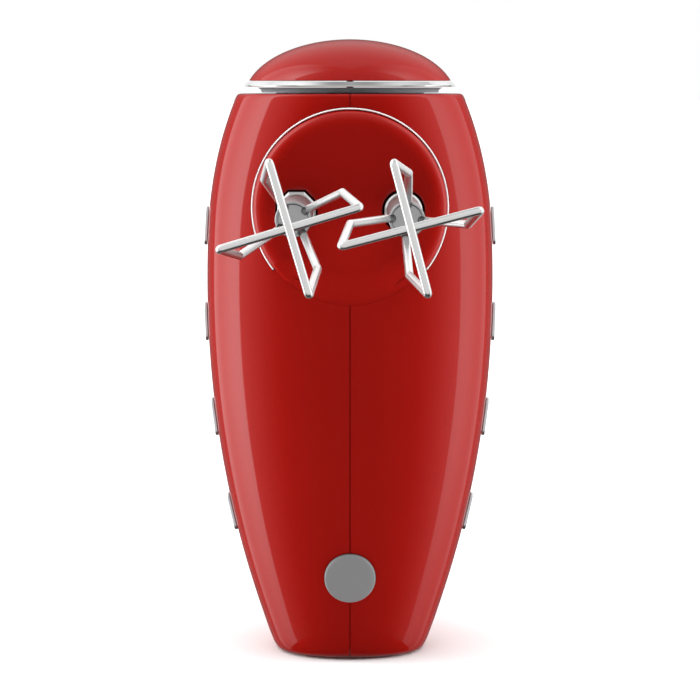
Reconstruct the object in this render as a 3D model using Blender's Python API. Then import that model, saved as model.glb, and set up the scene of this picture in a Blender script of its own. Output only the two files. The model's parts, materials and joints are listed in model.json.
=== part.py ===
"""Hand mixer, parked upright on its heel.

The row frame: +Z runs from the heel up to the nose, -Y is the side the beaters come out of,
+Y is the side of the handle, and X is the width. The origin is on the resting plane, under
the middle of the body. Lengths in this script are millimetres; MM turns them into metres.
"""

import math

import bmesh
import bpy
from mathutils import Matrix, Vector
from mathutils.bvhtree import BVHTree

MM = 0.001
GAP = 0.3

# Body: its outlines, measured from the motor axis plane
FACE_Z = 192.4
WIDEST_Z = 128.0
HALF_WIDTH = 49.7
BELLY = 43.5
BACK = 38.0
WALL = 2.4
CAVITY_INSET = 3.6
PARTING = 0.3
HEEL_PAD_Y = 1.0
RING_SWELL = 1.025

# Handle: outer point (y, z), inner point (y, z) and half width of each section, front to rear
HANDLE_SECTIONS = (
    ((50.0, 184.0), (46.0, 145.0), 25.0),
    ((66.0, 177.0), (56.0, 141.0), 21.0),
    ((81.0, 163.0), (63.5, 132.0), 18.5),
    ((89.5, 143.0), (66.0, 117.0), 17.0),
    ((93.0, 117.0), (66.5, 101.0), 16.0),
    ((94.0, 89.0), (66.5, 83.0), 15.5),
    ((92.0, 61.0), (65.0, 65.0), 16.0),
    ((85.0, 36.0), (61.0, 51.0), 17.0),
    ((70.0, 16.5), (52.0, 44.5), 19.0),
    ((50.0, 8.0), (44.0, 42.0), 22.0),
)

# Drive: worm on the motor shaft between two gears
MOTOR_Y = -8.0
BEATER_Z = 154.0
BEATER_X = 17.6
MODULE = 1.0
GEAR_TEETH = 28
WORM_STARTS = 2
WORM_PITCH_R = 3.6
SHAFT_R = 2.5
GEAR_FACE = 9.0
SLEEVE_R = 6.0

# Boss under the nose that the beaters plug into
BOSS_Z = 154.8
BOSS_R = 32.1
BOSS_FACE_Y = -46.0
SOCKET_R = 7.0

# Beaters
BEATER_ANGLE = 15.6
BEATER_TWIST = 19.0
LOOPS = {  # radius of a loop's bends and of its tips, before rounding: inner loop, then outer loop
    "left": ((19.4, 23.3), (16.7, 22.1)),
    "right": ((18.9, 22.8), (16.5, 21.7)),
}
HUB_END_Y = -107.0
BEND_Y = -135.5
TIP_Y = -166.0
HUB_R = 5.7
SEAT_R = 4.6
WIRE_R = 1.25
SHANK_R = 3.0
SHANK_TOP_Y = -6.2

# Control panel on top of the handle: centre, slope and size
PANEL_Y, PANEL_Z = 93.0, 116.0
PANEL_SLOPE = math.radians(5.0)
PANEL_LENGTH, PANEL_WIDTH, PANEL_THICK = 54.0, 23.0, 3.6
PANEL_SINK = 2.2
KEY_RISE = 1.3

# Skirt under the slide, which keeps its slot closed over the whole travel
SKIRT_LENGTH, SKIRT_WIDTH, SKIRT_THICK = 19.6, 6.4, 0.8

# Bars along both sides of the body
BAR_STATIONS = (48.0, 81.0, 114.0, 147.0)
BAR_LENGTH, BAR_HEIGHT, BAR_THICK = 13.4, 5.0, 1.2


# ---------------------------------------------------------------- shared tools


def material(name, colour, roughness, metallic=0.0):
    made = bpy.data.materials.new(name)
    made.use_nodes = True
    shader = made.node_tree.nodes["Principled BSDF"]
    shader.inputs["Base Color"].default_value = (*colour, 1.0)
    shader.inputs["Roughness"].default_value = roughness
    shader.inputs["Metallic"].default_value = metallic
    return made


def place(name, bm, finish, origin=(0, 0, 0), turn=None, smooth=True):
    """Makes an object from a bmesh in millimetres, with its origin at that point of the row frame."""
    bmesh.ops.remove_doubles(bm, verts=bm.verts, dist=1e-4)
    bmesh.ops.recalc_face_normals(bm, faces=bm.faces)
    bmesh.ops.scale(bm, vec=(MM, MM, MM), verts=bm.verts)
    mesh = bpy.data.meshes.new(name)
    bm.to_mesh(mesh)
    bm.free()
    if smooth:
        mesh.shade_smooth()
        mesh.set_sharp_from_angle(angle=math.radians(35))
    obj = bpy.data.objects.new(name, mesh)
    obj.location = Vector(origin) * MM
    if turn is not None:
        obj.rotation_mode = "QUATERNION"
        obj.rotation_quaternion = turn.to_quaternion()
    obj.data.materials.append(finish)
    bpy.context.scene.collection.objects.link(obj)
    return obj


# Turns that carry a local frame into the row frame
ALONG_Z = Matrix.Identity(3)
ALONG_Y = Matrix(((1, 0, 0), (0, 0, 1), (0, -1, 0)))  # local Z runs along row +Y


def facing(normal, up=Vector((0, 0, 1))):
    """A turn whose local Z is this normal and whose local Y is as near to up as it can be."""
    z = Vector(normal).normalized()
    x = up.cross(z).normalized()
    y = z.cross(x)
    return Matrix((x, y, z)).transposed()


def lathe(name, profile, finish, origin, turn=ALONG_Z, steps=32):
    """Spins (radius, height) points about the local Z axis. A profile with both ends on the axis is
    a solid; any other profile is closed on itself and makes a ring."""
    bm = bmesh.new()
    verts = [bm.verts.new((r, 0, h)) for r, h in profile]
    edges = [bm.edges.new(pair) for pair in zip(verts, verts[1:])]
    if profile[0][0] > 0 or profile[-1][0] > 0:
        edges.append(bm.edges.new((verts[-1], verts[0])))
    bmesh.ops.spin(
        bm, geom=verts + edges, cent=(0, 0, 0), axis=(0, 0, 1), angle=math.tau, steps=steps
    )
    return place(name, bm, finish, origin, turn)


def plug(radius, low, high):
    """The profile of a plain cylinder, for a hole or a stem."""
    return [(0, low), (radius, low), (radius, high), (0, high)]


def prism(name, outline, low, high, finish, origin=(0, 0, 0), turn=ALONG_Z, bevel=0.0):
    """Extrudes a flat outline along local Z, and rounds the rim at its high end."""
    bm = bmesh.new()
    face = bm.faces.new([bm.verts.new((x, y, low)) for x, y in outline])
    grown = bmesh.ops.extrude_face_region(bm, geom=[face])
    top = [v for v in grown["geom"] if isinstance(v, bmesh.types.BMVert)]
    bmesh.ops.translate(bm, vec=(0, 0, high - low), verts=top)
    if bevel:
        rim = [e for e in bm.edges if all(v in top for v in e.verts)]
        bmesh.ops.bevel(bm, geom=rim, offset=bevel, segments=2, profile=0.5, affect="EDGES")
    return place(name, bm, finish, origin, turn)


def block(name, low, high, finish):
    """A box between two corners of the row frame."""
    centre = [(a + b) / 2 for a, b in zip(low, high)]
    half = [(b - a) / 2 for a, b in zip(low, high)]
    outline = [(-half[0], -half[1]), (half[0], -half[1]), (half[0], half[1]), (-half[0], half[1])]
    return prism(name, outline, -half[2], half[2], finish, centre)


def wire(name, points, radius, finish, sides=2):
    """A round wire along points, as a curve with filled ends."""
    curve = bpy.data.curves.new(name, "CURVE")
    curve.dimensions = "3D"
    curve.bevel_depth = radius * MM
    curve.bevel_resolution = sides
    curve.use_fill_caps = True
    spline = curve.splines.new("POLY")
    spline.points.add(len(points) - 1)
    for slot, point in zip(spline.points, points):
        slot.co = (*(Vector(point) * MM), 1)
    obj = bpy.data.objects.new(name, curve)
    obj.data.materials.append(finish)
    bpy.context.scene.collection.objects.link(obj)
    return obj


def circle(radius, steps, start=0.0):
    """Points of a circle, as a flat outline."""
    turn = math.tau / steps
    return [
        (radius * math.cos(start + i * turn), radius * math.sin(start + i * turn))
        for i in range(steps)
    ]


def stadium(length, width, corner, steps=4):
    """A rectangle with round corners, centred, longest along local Y."""
    points = []
    half_w, half_l = width / 2 - corner, length / 2 - corner
    for quarter, (sx, sy) in enumerate(((1, 1), (-1, 1), (-1, -1), (1, -1))):
        for i in range(steps + 1):
            angle = math.radians(90 * quarter + 90 * i / steps)
            x, y = sx * half_w + corner * math.cos(angle), sy * half_l + corner * math.sin(angle)
            points.append((x, y))
    return points


def combine(target, others, operation):
    """Applies a Boolean of target with each other object, then removes those."""
    for other in others:
        modifier = target.modifiers.new("combine", "BOOLEAN")
        modifier.operation = operation
        modifier.object = other
        modifier.solver = "EXACT"
    bpy.context.view_layer.update()
    finished = bpy.data.meshes.new_from_object(
        target.evaluated_get(bpy.context.evaluated_depsgraph_get())
    )
    target.modifiers.clear()
    target.data = finished
    for other in others:
        bpy.data.objects.remove(other)
    return target


def rounded_path(corners, radius, steps=3):
    """The corner points, each inner corner replaced by an arc. Its centre lies that radius in from
    both sides, and a slerp gives unit vectors, so the arc itself has a radius of one millimetre."""
    path = [Vector(corners[0])]
    for before, corner, after in zip(corners, corners[1:], corners[2:]):
        before, corner, after = Vector(before), Vector(corner), Vector(after)
        back, ahead = (before - corner).normalized(), (after - corner).normalized()
        half = back.angle(ahead) / 2
        shortest = min((before - corner).length, (after - corner).length)
        reach = min(radius / math.tan(half), 0.45 * shortest)
        centre = corner + (back + ahead).normalized() * (reach / math.cos(half))
        start, end = corner + back * reach - centre, corner + ahead * reach - centre
        path += [centre + start.slerp(end, i / steps) for i in range(steps + 1)]
    return path + [Vector(corners[-1])]


# ---------------------------------------------------------------- outer skin


def fall(z, at_face, at_heel):
    """How far an outline has come in at z, from nothing at the widest station."""
    if z > WIDEST_Z:
        return at_face * ((z - WIDEST_Z) / (FACE_Z - WIDEST_Z)) ** 2.7
    return at_heel * ((WIDEST_Z - z) / WIDEST_Z) ** 2.1


def body_point(z, degrees, inset, share):
    """A point of the body's cage. The angle runs from the top of the body, round by +X, and share
    is how much of the full outline the ring has in width and in depth."""
    squareness = 2.0 + 0.25 * min(1.0, (FACE_Z - z) / 45.0)
    s, c = math.sin(math.radians(degrees)), math.cos(math.radians(degrees))
    across = math.copysign(abs(s) ** (2 / squareness), s)
    up = math.copysign(abs(c) ** (2 / squareness), c)
    half_width = HALF_WIDTH - fall(z, 10.6, 23.8) - inset
    depth = (BACK - fall(z, 0.0, 8.0) if c > 0 else BELLY - fall(z, 5.5, 17.0)) - inset
    wide, deep = share
    return Vector((half_width * across * wide * RING_SWELL, depth * up * deep * RING_SWELL, z))


def handle_ring(outer, inner, half_width, inset):
    """The fourteen cage points of one handle section, starting at its outer edge on the +X side."""
    middle = (Vector((0, *outer)) + Vector((0, *inner))) / 2
    reach = (Vector((0, *outer)) - Vector((0, *inner))) / 2
    reach = reach.normalized() * (reach.length - inset)
    points = []
    for degrees in (60, 30, 0, -30, -60, -80, -100, -120, -150, 180, 150, 120, 100, 80):
        s, c = math.sin(math.radians(degrees)), math.cos(math.radians(degrees))
        x = (half_width - inset) * math.copysign(abs(s) ** 0.87, s) * RING_SWELL
        along = reach * math.copysign(abs(c) ** 0.87, c) * RING_SWELL
        points.append(middle + Vector((x, 0, 0)) + along)
    return points


RING_ANGLES = (0, 16, 32, 56, 82, 108, 134, 158, 180, 202, 226, 252, 278, 304, 328, 344)
FRONT_ROWS = (183.0, 172.0, 160.0, 149.0)
REAR_ROWS = (8.0, 18.0, 29.5, 41.5)
BODY_ROWS = (191.2, *FRONT_ROWS, 131.0, 113.0, 95.0, 77.0, 58.0, *reversed(REAR_ROWS))
FACE_SHARES = ((0.45, 0.45), (0.93, 0.93), (0.995, 0.995))
HEEL_ROWS = (
    (3.0, (1.0, 0.98)),
    (0.5, (0.985, 0.90)),
    (0.2, (0.93, 0.79)),
    (0.2, (0.65, 0.55)),
    (0.2, (0.3, 0.25)),
)
FULL = (1.0, 1.0)
EDGE_DROP = 1.2  # how far under the front face the body has its full outline
PATCH_COLUMNS = (2, 1, 0, 15, 14)


def skin(name, inset, finish, smoothing_levels):
    """The closed skin of body and handle: a coarse cage of rings, smoothed by subdivision."""
    bm = bmesh.new()
    rows = [(FACE_Z - inset, share) for share in FACE_SHARES]
    rows += [(min(z, FACE_Z - inset - EDGE_DROP), FULL) for z in BODY_ROWS]
    rows += [(z + inset, share) for z, share in HEEL_ROWS]
    rings = [[bm.verts.new(body_point(z, a, inset, share)) for a in RING_ANGLES] for z, share in rows]
    by_row = {round(z, 3): ring for (z, _), ring in zip(rows, rings)}
    for (z, _), (z_next, _), ring, following in zip(rows, rows[1:], rings, rings[1:]):
        inside = any(min(p) <= z_next and z <= max(p) for p in (FRONT_ROWS, REAR_ROWS))
        for i in range(16):
            j = (i + 1) % 16
            if inside and i in PATCH_COLUMNS and j in PATCH_COLUMNS:
                continue
            bm.faces.new((ring[i], ring[j], following[j], following[i]))
    bm.faces.new(rings[0])
    bm.faces.new(rings[-1])

    def patch_edge(patch):
        """The fourteen body vertices round a gap for the handle, in the handle's own order."""
        first, second, third, last = (by_row[z] for z in patch)
        near = [first[c] for c in PATCH_COLUMNS] + [second[14], third[14]]
        return near + [last[c] for c in PATCH_COLUMNS[::-1]] + [third[2], second[2]]

    loops = [patch_edge(FRONT_ROWS)]
    loops += [[bm.verts.new(p) for p in handle_ring(o, i, w, inset)] for o, i, w in HANDLE_SECTIONS]
    loops.append(patch_edge(REAR_ROWS))
    for loop, following in zip(loops, loops[1:]):
        for i in range(14):
            j = (i + 1) % 14
            bm.faces.new((loop[i], loop[j], following[j], following[i]))
    obj = place(name, bm, finish)
    smoothing = obj.modifiers.new("smooth", "SUBSURF")
    smoothing.levels = smoothing.render_levels = smoothing_levels
    return combine(obj, [], "UNION")


def hit(tree, start, direction):
    """Where a ray meets the skin, and the skin's normal there, in millimetres."""
    point, normal, _, _ = tree.ray_cast(Vector(start) * MM, Vector(direction).normalized())
    return point / MM, normal


def strip_points(tree, z_low, z_high, count, start_y, direction):
    """Points along the handle's middle line, from one height to another, found on the skin."""
    heights = [z_low + (z_high - z_low) * i / (count - 1) for i in range(count)]
    return [hit(tree, (0, start_y, z), (0, direction, 0)) for z in heights]


def strip(name, line, half_width, rise, sink, finish):
    """A band along a line on the skin, from sink below it to rise above it, arched across."""
    bm = bmesh.new()
    rings = []
    for point, normal in line:
        flat = Vector((0, normal.y, normal.z)).normalized()
        right, left = point + Vector((half_width, 0, 0)), point - Vector((half_width, 0, 0))
        shoulder = flat * (rise * 0.35)
        ring = [point + flat * rise, right + shoulder, right - flat * sink]
        ring += [left - flat * sink, left + shoulder]
        rings.append([bm.verts.new(p) for p in ring])
    for ring, following in zip(rings, rings[1:]):
        for i in range(5):
            j = (i + 1) % 5
            bm.faces.new((ring[i], ring[j], following[j], following[i]))
    bm.faces.new(rings[0])
    bm.faces.new(rings[-1])
    return place(name, bm, finish)


def panel_point(along, out):
    """The row-frame point of the control panel's frame: along towards the nose, out from the handle."""
    s, c = math.sin(PANEL_SLOPE), math.cos(PANEL_SLOPE)
    return (0.0, PANEL_Y - s * along + c * out, PANEL_Z + c * along + s * out)


PANEL_TURN = Matrix(
    (
        (-1, 0, 0),
        (0, -math.sin(PANEL_SLOPE), math.cos(PANEL_SLOPE)),
        (0, math.cos(PANEL_SLOPE), math.sin(PANEL_SLOPE)),
    )
)


# ---------------------------------------------------------------- assemblies


def housing_cutters(side, places, finish):
    """Everything that is cut from one half shell, which stands on this side of the parting plane."""
    pad_point, pad_turn, cord_point, cord_turn, top_line, under_line = places
    near, far = sorted((side * -80, side * PARTING / 2))

    def bore(radius, low, high, origin, turn, steps):
        return lathe("cut", plug(radius, low, high), finish, origin, turn, steps)

    panel_outline = stadium(PANEL_LENGTH + 2 * GAP, PANEL_WIDTH + 2 * GAP, 9.3)
    return [
        skin("cut", CAVITY_INSET, finish, 0),
        block("cut", (near, -90, -10), (far, 130, 230), finish),
        bore(BOSS_R + 1.2, -62, -22, (0, 0, BOSS_Z), ALONG_Y, 40),
        bore(26, -12, 8, (0, 0, FACE_Z), ALONG_Z, 28),
        bore(8.6, 66, 106, (0, 0, BEATER_Z), ALONG_Y, 28),
        bore(8.9, -1.1, 9, pad_point, pad_turn, 24),
        bore(5.3, -9, 9, cord_point, cord_turn, 16),
        prism("cut", stadium(36.6, 38.6, 14.3), -3, 1.9, finish, (0, HEEL_PAD_Y, 0)),
        prism("cut", panel_outline, -6.5, 9, finish, panel_point(0, 0), PANEL_TURN),
        strip("cut", top_line, 4.5 + GAP, 3.0, 0.9 + GAP, finish),
        strip("cut", under_line, 7.0 + GAP, 3.0, 0.9 + GAP, finish),
    ]


def build_housing(finishes):
    """Left and right shells, and the line pieces and pads laid into them."""
    red = finishes["housing_red"]
    whole = skin("whole", 0.0, red, 1)
    tree = BVHTree.FromObject(whole, bpy.context.evaluated_depsgraph_get())
    pad_point, pad_normal = hit(tree, (0, -90, 29.7), (0, 1, 0))
    pad_turn = facing(pad_normal)
    cord_point, cord_normal = hit(tree, (0, 64, -40), (0, 0, 1))
    cord_turn = facing(cord_normal, Vector((1, 0, 0)))
    top_line = strip_points(tree, 35.0 - GAP, 81.0 + GAP, 12, 150.0, -1)
    under_line = strip_points(tree, 61.0 - GAP, 121.0 + GAP, 12, 50.0, 1)
    places = (pad_point, pad_turn, cord_point, cord_turn, top_line, under_line)
    for name, side in (("housing_left", -1), ("housing_right", 1)):
        half = bpy.data.objects.new(name, whole.data.copy())
        bpy.context.scene.collection.objects.link(half)
        combine(half, housing_cutters(side, places, red), "DIFFERENCE")
    bpy.data.objects.remove(whole)

    top = strip_points(tree, 35.0, 81.0, 12, 150.0, -1)
    under = strip_points(tree, 61.0, 121.0, 12, 50.0, 1)
    strip("handle_inlay", top, 4.5, 0.6, 0.9, finishes["chrome"])
    strip("handle_grip", under, 7.0, 0.8, 0.9, finishes["grip_grey"])
    lathe(
        "rest_pad",
        [(0, -0.7), (8.6, -0.7), (8.6, 0.6), (7.9, 1.2), (0, 1.2)],
        finishes["pad_grey"],
        pad_point,
        pad_turn,
        24,
    )
    prism("heel_pad", stadium(36.0, 38.0, 14.0), 0, 1.5, finishes["pad_grey"], (0, HEEL_PAD_Y, 0))
    lathe(
        "cord_inlet",
        [(2.8, -6), (4.9, -6), (4.9, 0.3), (6.4, 0.6), (6.4, 1.4), (5.2, 3.4), (2.8, 3.4)],
        finishes["dark_grey"],
        cord_point,
        cord_turn,
        16,
    )
    return tree


def build_side_bars(tree, chrome):
    """Plain bars that stand along both sides of the body."""
    for label, side in (("left", -1), ("right", 1)):
        for number, z in enumerate(BAR_STATIONS, 1):
            point, normal = hit(tree, (side * 90, 0, z), (-side, 0, 0))
            prism(
                f"side_bar_{label}_{number}",
                stadium(BAR_LENGTH, BAR_HEIGHT, 2.3, 3),
                GAP,
                GAP + BAR_THICK,
                chrome,
                point,
                facing(normal),
            )


def build_nose(finishes):
    """Neck, chromed ring and hollow dome on the front face, held by one screw from inside."""
    face = (0, 0, FACE_Z)
    bore = 1.6
    neck = [(bore, -3), (25.4, -3), (25.4, GAP), (30.4, GAP), (30.6, 1.1), (31.7, 2.0), (bore, 2.0)]
    lathe("nose_neck", neck, finishes["dark_grey"], face, ALONG_Z, 36)
    ring = [(bore, 2.3), (36.2, 2.3), (36.2, 2.7), (35.2, 4.0), (bore, 4.0)]
    lathe("nose_ring", ring, finishes["chrome"], face, ALONG_Z, 40)

    base, centre = 4.3, -2.1
    inner, outer = [], []
    for points, radius, height, steps in ((inner, 34.1, 18.2, 4), (outer, 36.5, 20.6, 7)):
        start = math.asin((base - centre) / height)
        for i in range(steps):
            angle = start + (math.pi / 2 - start) * i / steps
            points.append((radius * math.cos(angle), centre + height * math.sin(angle)))
    roof = centre + 18.2
    post = [(0, 12), (1.5, 12), (1.5, base), (4.2, base), (4.2, roof - 0.1)]
    dome = post + inner[::-1] + outer + [(0, centre + 20.6)]
    lathe("nose_cap", dome, finishes["housing_red"], face, ALONG_Z, 36)
    screw = [(0, -5.3), (3.2, -5.3), (3.2, -3.3), (1.2, -3.3), (1.2, 11.5), (0, 11.5)]
    lathe("nose_screw", screw, finishes["steel"], face, ALONG_Z, 12)


def build_boss(tree, finishes):
    """The cup the beaters plug into, and the bright wire round its rim."""
    y = BOSS_FACE_Y
    rim, depth = 3.5, 21.6
    arc = [
        (BOSS_R - rim + rim * math.sin(a), rim - rim * math.cos(a))
        for a in (math.radians(30 * i) for i in range(4))
    ]
    profile = [(0, 0), *arc, (BOSS_R, depth), (BOSS_R - WALL, depth), (BOSS_R - WALL, 3.4), (0, 3.4)]
    boss = lathe("beater_boss", profile, finishes["housing_red"], (0, y, BOSS_Z), ALONG_Y, 40)
    red = finishes["housing_red"]
    eighth = ALONG_Y @ Matrix.Rotation(math.radians(22.5), 3, "Z")
    octagon = lathe("cut", plug(SOCKET_R + 0.4, -3, 9), red, (-BEATER_X, y, BEATER_Z), eighth, 8)
    round_hole = lathe("cut", plug(SOCKET_R, -3, 9), red, (BEATER_X, y, BEATER_Z), ALONG_Y, 32)
    combine(boss, [octagon, round_hole], "DIFFERENCE")

    radius = BOSS_R + 0.6
    points = []
    steps = 44
    for i in range(steps + 1):
        angle = math.radians(-38.5 + 257 * i / steps)
        x, z = radius * math.cos(angle), BOSS_Z + radius * math.sin(angle)
        outside, _ = hit(tree, (x * 1.02, -90, BOSS_Z + (z - BOSS_Z) * 1.02), (0, 1, 0))
        points.append((x, outside.y - 0.1, z))
    wire("boss_trim", points, 0.42, finishes["chrome"], 1)


def build_controls(finishes):
    """Panel, window, keys and switch on the handle, and the board under them."""

    def on_panel(name, outline, low, high, finish, along, across=0.0, bevel=0.0):
        x, y, z = panel_point(along, 0)
        return prism(name, outline, low, high, finish, (x - across, y, z), PANEL_TURN, bevel)

    silver, chrome = finishes["panel_silver"], finishes["chrome"]
    low, high = -PANEL_SINK, PANEL_THICK - PANEL_SINK
    panel = on_panel("control_panel", stadium(PANEL_LENGTH, PANEL_WIDTH, 9), low, high, silver, 0, 0, 0.6)
    holes = [
        on_panel("cut", stadium(13.6, 15.6, 3.3), -5, 9, silver, 15.5),
        on_panel("cut", stadium(13.6, 5.6, 2.7), -5, 9, silver, -2.5),
        on_panel("cut", circle(3.8, 20), -5, 9, silver, -17.5, -6.2),
        on_panel("cut", circle(3.8, 20), -5, 9, silver, -17.5, 6.2),
        on_panel("cut", circle(3.3, 20), -5, 9, silver, -2.5, 7.4),
    ]
    combine(panel, holes, "DIFFERENCE")
    on_panel("display_lens", stadium(13.0, 15.0, 3), low, high + 0.1, finishes["lens_dark"], 15.5, 0, 0.3)
    slide = on_panel("power_slide", stadium(7.0, 5.0, 2.4), low - 2 * GAP, high + 1.4, chrome, -5.5)
    skirt_outline = stadium(SKIRT_LENGTH, SKIRT_WIDTH, 1)
    skirt = on_panel("add", skirt_outline, low - GAP - SKIRT_THICK, low - GAP, chrome, -5.5)
    combine(slide, [skirt], "UNION")
    on_panel("minus_button", circle(3.5, 20), low, high + KEY_RISE, chrome, -17.5, -6.2)
    on_panel("plus_button", circle(3.5, 20), low, high + KEY_RISE, chrome, -17.5, 6.2)
    on_panel("turbo_button", circle(3.0, 20), low, high + KEY_RISE, finishes["housing_red"], -2.5, 7.4)
    on_panel("control_board", stadium(44, 15, 1), low - 5.6, low - 4.0, finishes["board_green"], 0)


def build_motor(finishes):
    """Stator, windings, armature on its shaft with the worm, fan, bearings and brushes."""
    iron, copper, steel = finishes["iron"], finishes["copper"], finishes["steel"]

    def on_shaft(name, profile, finish, z, steps=20):
        return lathe(name, profile, finish, (0, MOTOR_Y, z), ALONG_Z, steps)

    def washer(inner, outer, thick):
        return [(inner, 0), (outer, 0), (outer, thick), (inner, thick)]

    stator = prism("stator_core", stadium(42, 50, 8, 3), 0, 28, iron, (0, MOTOR_Y, 79))
    combine(stator, [on_shaft("cut", plug(13.2, -2, 30), iron, 79, 32)], "DIFFERENCE")
    on_shaft("field_winding_front", washer(13.6, 20, 6.5), copper, 107.3)
    on_shaft("field_winding_rear", washer(13.6, 20, 6.5), copper, 72.2)
    bore = SHAFT_R + GAP
    core = [(bore, 0), (9.5, 0), (10.5, 7), (12.6, 7), (12.6, 35), (10.5, 35), (9.5, 42), (bore, 42)]
    on_shaft("armature_core", core, iron, 72)
    on_shaft("commutator", washer(bore, 8.4, 10), copper, 59)
    on_shaft("rear_bearing", washer(bore, 6.5, 5), steel, 47)
    on_shaft("front_bearing", washer(bore, 6.0, 5), steel, 129.5)

    blades = []
    for i in range(11):
        centre = math.tau * i / 11
        for r, side in ((6.5, -1), (15.0, -1), (15.0, 1), (6.5, 1)):
            angle = centre + side * 0.7 / r
            blades.append((r * math.cos(angle), r * math.sin(angle)))
    fan = prism("cooling_fan", blades, 0, 7, finishes["dark_grey"], (0, MOTOR_Y, 115.5), ALONG_Z)
    combine(fan, [on_shaft("plate", plug(15.6, 0, 1.4), iron, 114.6)], "UNION")
    combine(fan, [on_shaft("cut", plug(bore, -2, 20), iron, 112)], "DIFFERENCE")

    dark = finishes["dark_grey"]
    bracket = block("rear_bracket", (-26, MOTOR_Y - 9, 46), (26, MOTOR_Y + 9, 53), dark)
    combine(bracket, [on_shaft("cut", plug(6.8, -9, 20), iron, 47)], "DIFFERENCE")

    def beside(name, side, reach, depth, low, high, finish):
        """A block beside the commutator, between two distances from the shaft."""
        near, far = sorted(side * x for x in reach)
        return block(name, (near, MOTOR_Y - depth, low), (far, MOTOR_Y + depth, high), finish)

    for label, side in (("left", -1), ("right", 1)):
        holder = beside(f"brush_holder_{label}", side, (9.6, 23), 4, 59.5, 68.5, finishes["brass"])
        combine(holder, [beside("cut", side, (8, 30), 2.8, 61, 67, iron)], "DIFFERENCE")
        beside(f"carbon_brush_{label}", side, (8.8, 19), 2.5, 61.3, 66.7, finishes["carbon"])
    build_shaft(steel)


def thread_radius(height, angle):
    """Radius of the worm at a height from its middle: tip, flank or root of the thread."""
    pitch = math.pi * MODULE
    lead = WORM_STARTS * pitch
    phase = (height - lead * angle / math.tau) / pitch
    off = abs(phase - round(phase))
    tip, root = WORM_PITCH_R + 0.85, WORM_PITCH_R - 1.2
    share = min(1.0, max(0.0, (off - 0.12) / 0.14))
    return tip + (root - tip) * share


def build_shaft(steel):
    """The motor shaft, from its rear bearing to the worm between the gears."""
    sides = 10
    step = WORM_STARTS * math.pi * MODULE / sides
    turns = 13
    half = turns * step
    stations = [(43.0, None), (BEATER_Z - half - 3, None)]
    stations += [(BEATER_Z + i * step, i * step) for i in range(-turns, turns + 1)]
    stations += [(BEATER_Z + half + 1.2, None), (175.4, None)]
    bm = bmesh.new()
    rings = []
    for index, (z, height) in enumerate(stations):
        ring = []
        for i in range(sides):
            angle = math.tau * i / sides
            plain = SHAFT_R if index < 2 else 2.0
            radius = plain if height is None else thread_radius(height, angle)
            place_xy = radius * math.cos(angle), radius * math.sin(angle)
            ring.append(bm.verts.new((*place_xy, z - BEATER_Z)))
        rings.append(ring)
    for ring, following in zip(rings, rings[1:]):
        for i in range(sides):
            j = (i + 1) % sides
            bm.faces.new((ring[i], ring[j], following[j], following[i]))
    bm.faces.new(rings[0])
    bm.faces.new(rings[-1])
    place("armature_shaft", bm, steel, (0, MOTOR_Y, BEATER_Z))


def build_gear(name, x, faces_angle, finish):
    """A helical gear about the beater's axis, with a tooth gap turned to the worm."""
    pitch_r = MODULE * GEAR_TEETH / 2
    lead = WORM_STARTS * math.pi * MODULE
    twist_per_mm = lead / math.tau / WORM_PITCH_R / pitch_r
    tooth = math.tau / GEAR_TEETH
    corners = ((-0.26, 12.6), (-0.12, 14.8), (0.12, 14.8), (0.26, 12.6))
    bm = bmesh.new()
    rings = []
    for y in (-GEAR_FACE / 2, GEAR_FACE / 2):
        turn = faces_angle + twist_per_mm * y
        ring = []
        for i in range(GEAR_TEETH):
            for share, radius in corners:
                angle = turn + (i + 0.5 + share) * tooth
                ring.append(bm.verts.new((radius * math.cos(angle), radius * math.sin(angle), y)))
        rings.append(ring)
    count = len(rings[0])
    for ring, following in zip(rings, rings[1:]):
        for i in range(count):
            j = (i + 1) % count
            bm.faces.new((ring[i], ring[j], following[j], following[i]))
    bm.faces.new(rings[0])
    bm.faces.new(rings[-1])
    gear = place(name, bm, finish, (x, MOTOR_Y, BEATER_Z), ALONG_Y)
    hole = lathe("cut", plug(SLEEVE_R + GAP, -9, 9), finish, (x, MOTOR_Y, BEATER_Z), ALONG_Y, 16)
    combine(gear, [hole], "DIFFERENCE")


def build_gearbox(finishes):
    """Frame, gears, spindles and the pins that push the beaters out."""
    frame = finishes["dark_grey"]
    plate = prism("gearbox_frame", stadium(54, 65, 14), 0, 5, frame, (0, -24, 152), ALONG_Y)
    parts = [
        block("add", (-15.5, -23, 129), (15.5, 7, 135), frame),
        block("add", (-11, -22.5, 171), (11, 53.5, 175), frame),
        block("add", (-10, 50.5, 149.8), (10, 54, 174), frame),
    ]
    combine(plate, parts, "UNION")
    bores = (
        (SLEEVE_R + GAP, (-BEATER_X, -21, BEATER_Z), ALONG_Y),
        (SLEEVE_R + GAP, (BEATER_X, -21, BEATER_Z), ALONG_Y),
        (6.3, (0, MOTOR_Y, 132), ALONG_Z),
        (2.4, (0, MOTOR_Y, 173), ALONG_Z),
        (3.4, (0, 52, BEATER_Z), ALONG_Y),
    )
    cuts = [lathe("cut", plug(r, -9, 9), frame, at, turn, 16) for r, at, turn in bores]
    combine(plate, cuts, "DIFFERENCE")

    for label, x, faces_angle in (("left", -BEATER_X, 0.0), ("right", BEATER_X, math.pi)):
        build_gear(f"drive_gear_{label}", x, faces_angle, finishes["gear_white"])
        bore = SHANK_R + GAP
        sleeve = [(bore, -39.5), (SLEEVE_R, -39.5), (SLEEVE_R, 2), (bore, 2)]
        lathe(f"spindle_{label}", sleeve, finishes["steel"], (x, 0, BEATER_Z), ALONG_Y, 16)
        pin = [(0, SHANK_TOP_Y + GAP), (2.8, SHANK_TOP_Y + GAP), (2.8, 10.6), (1.8, 11.6), (0, 11.6)]
        lathe(f"eject_pin_{label}", pin, finishes["steel"], (x, 0, BEATER_Z), ALONG_Y, 12)


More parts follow.
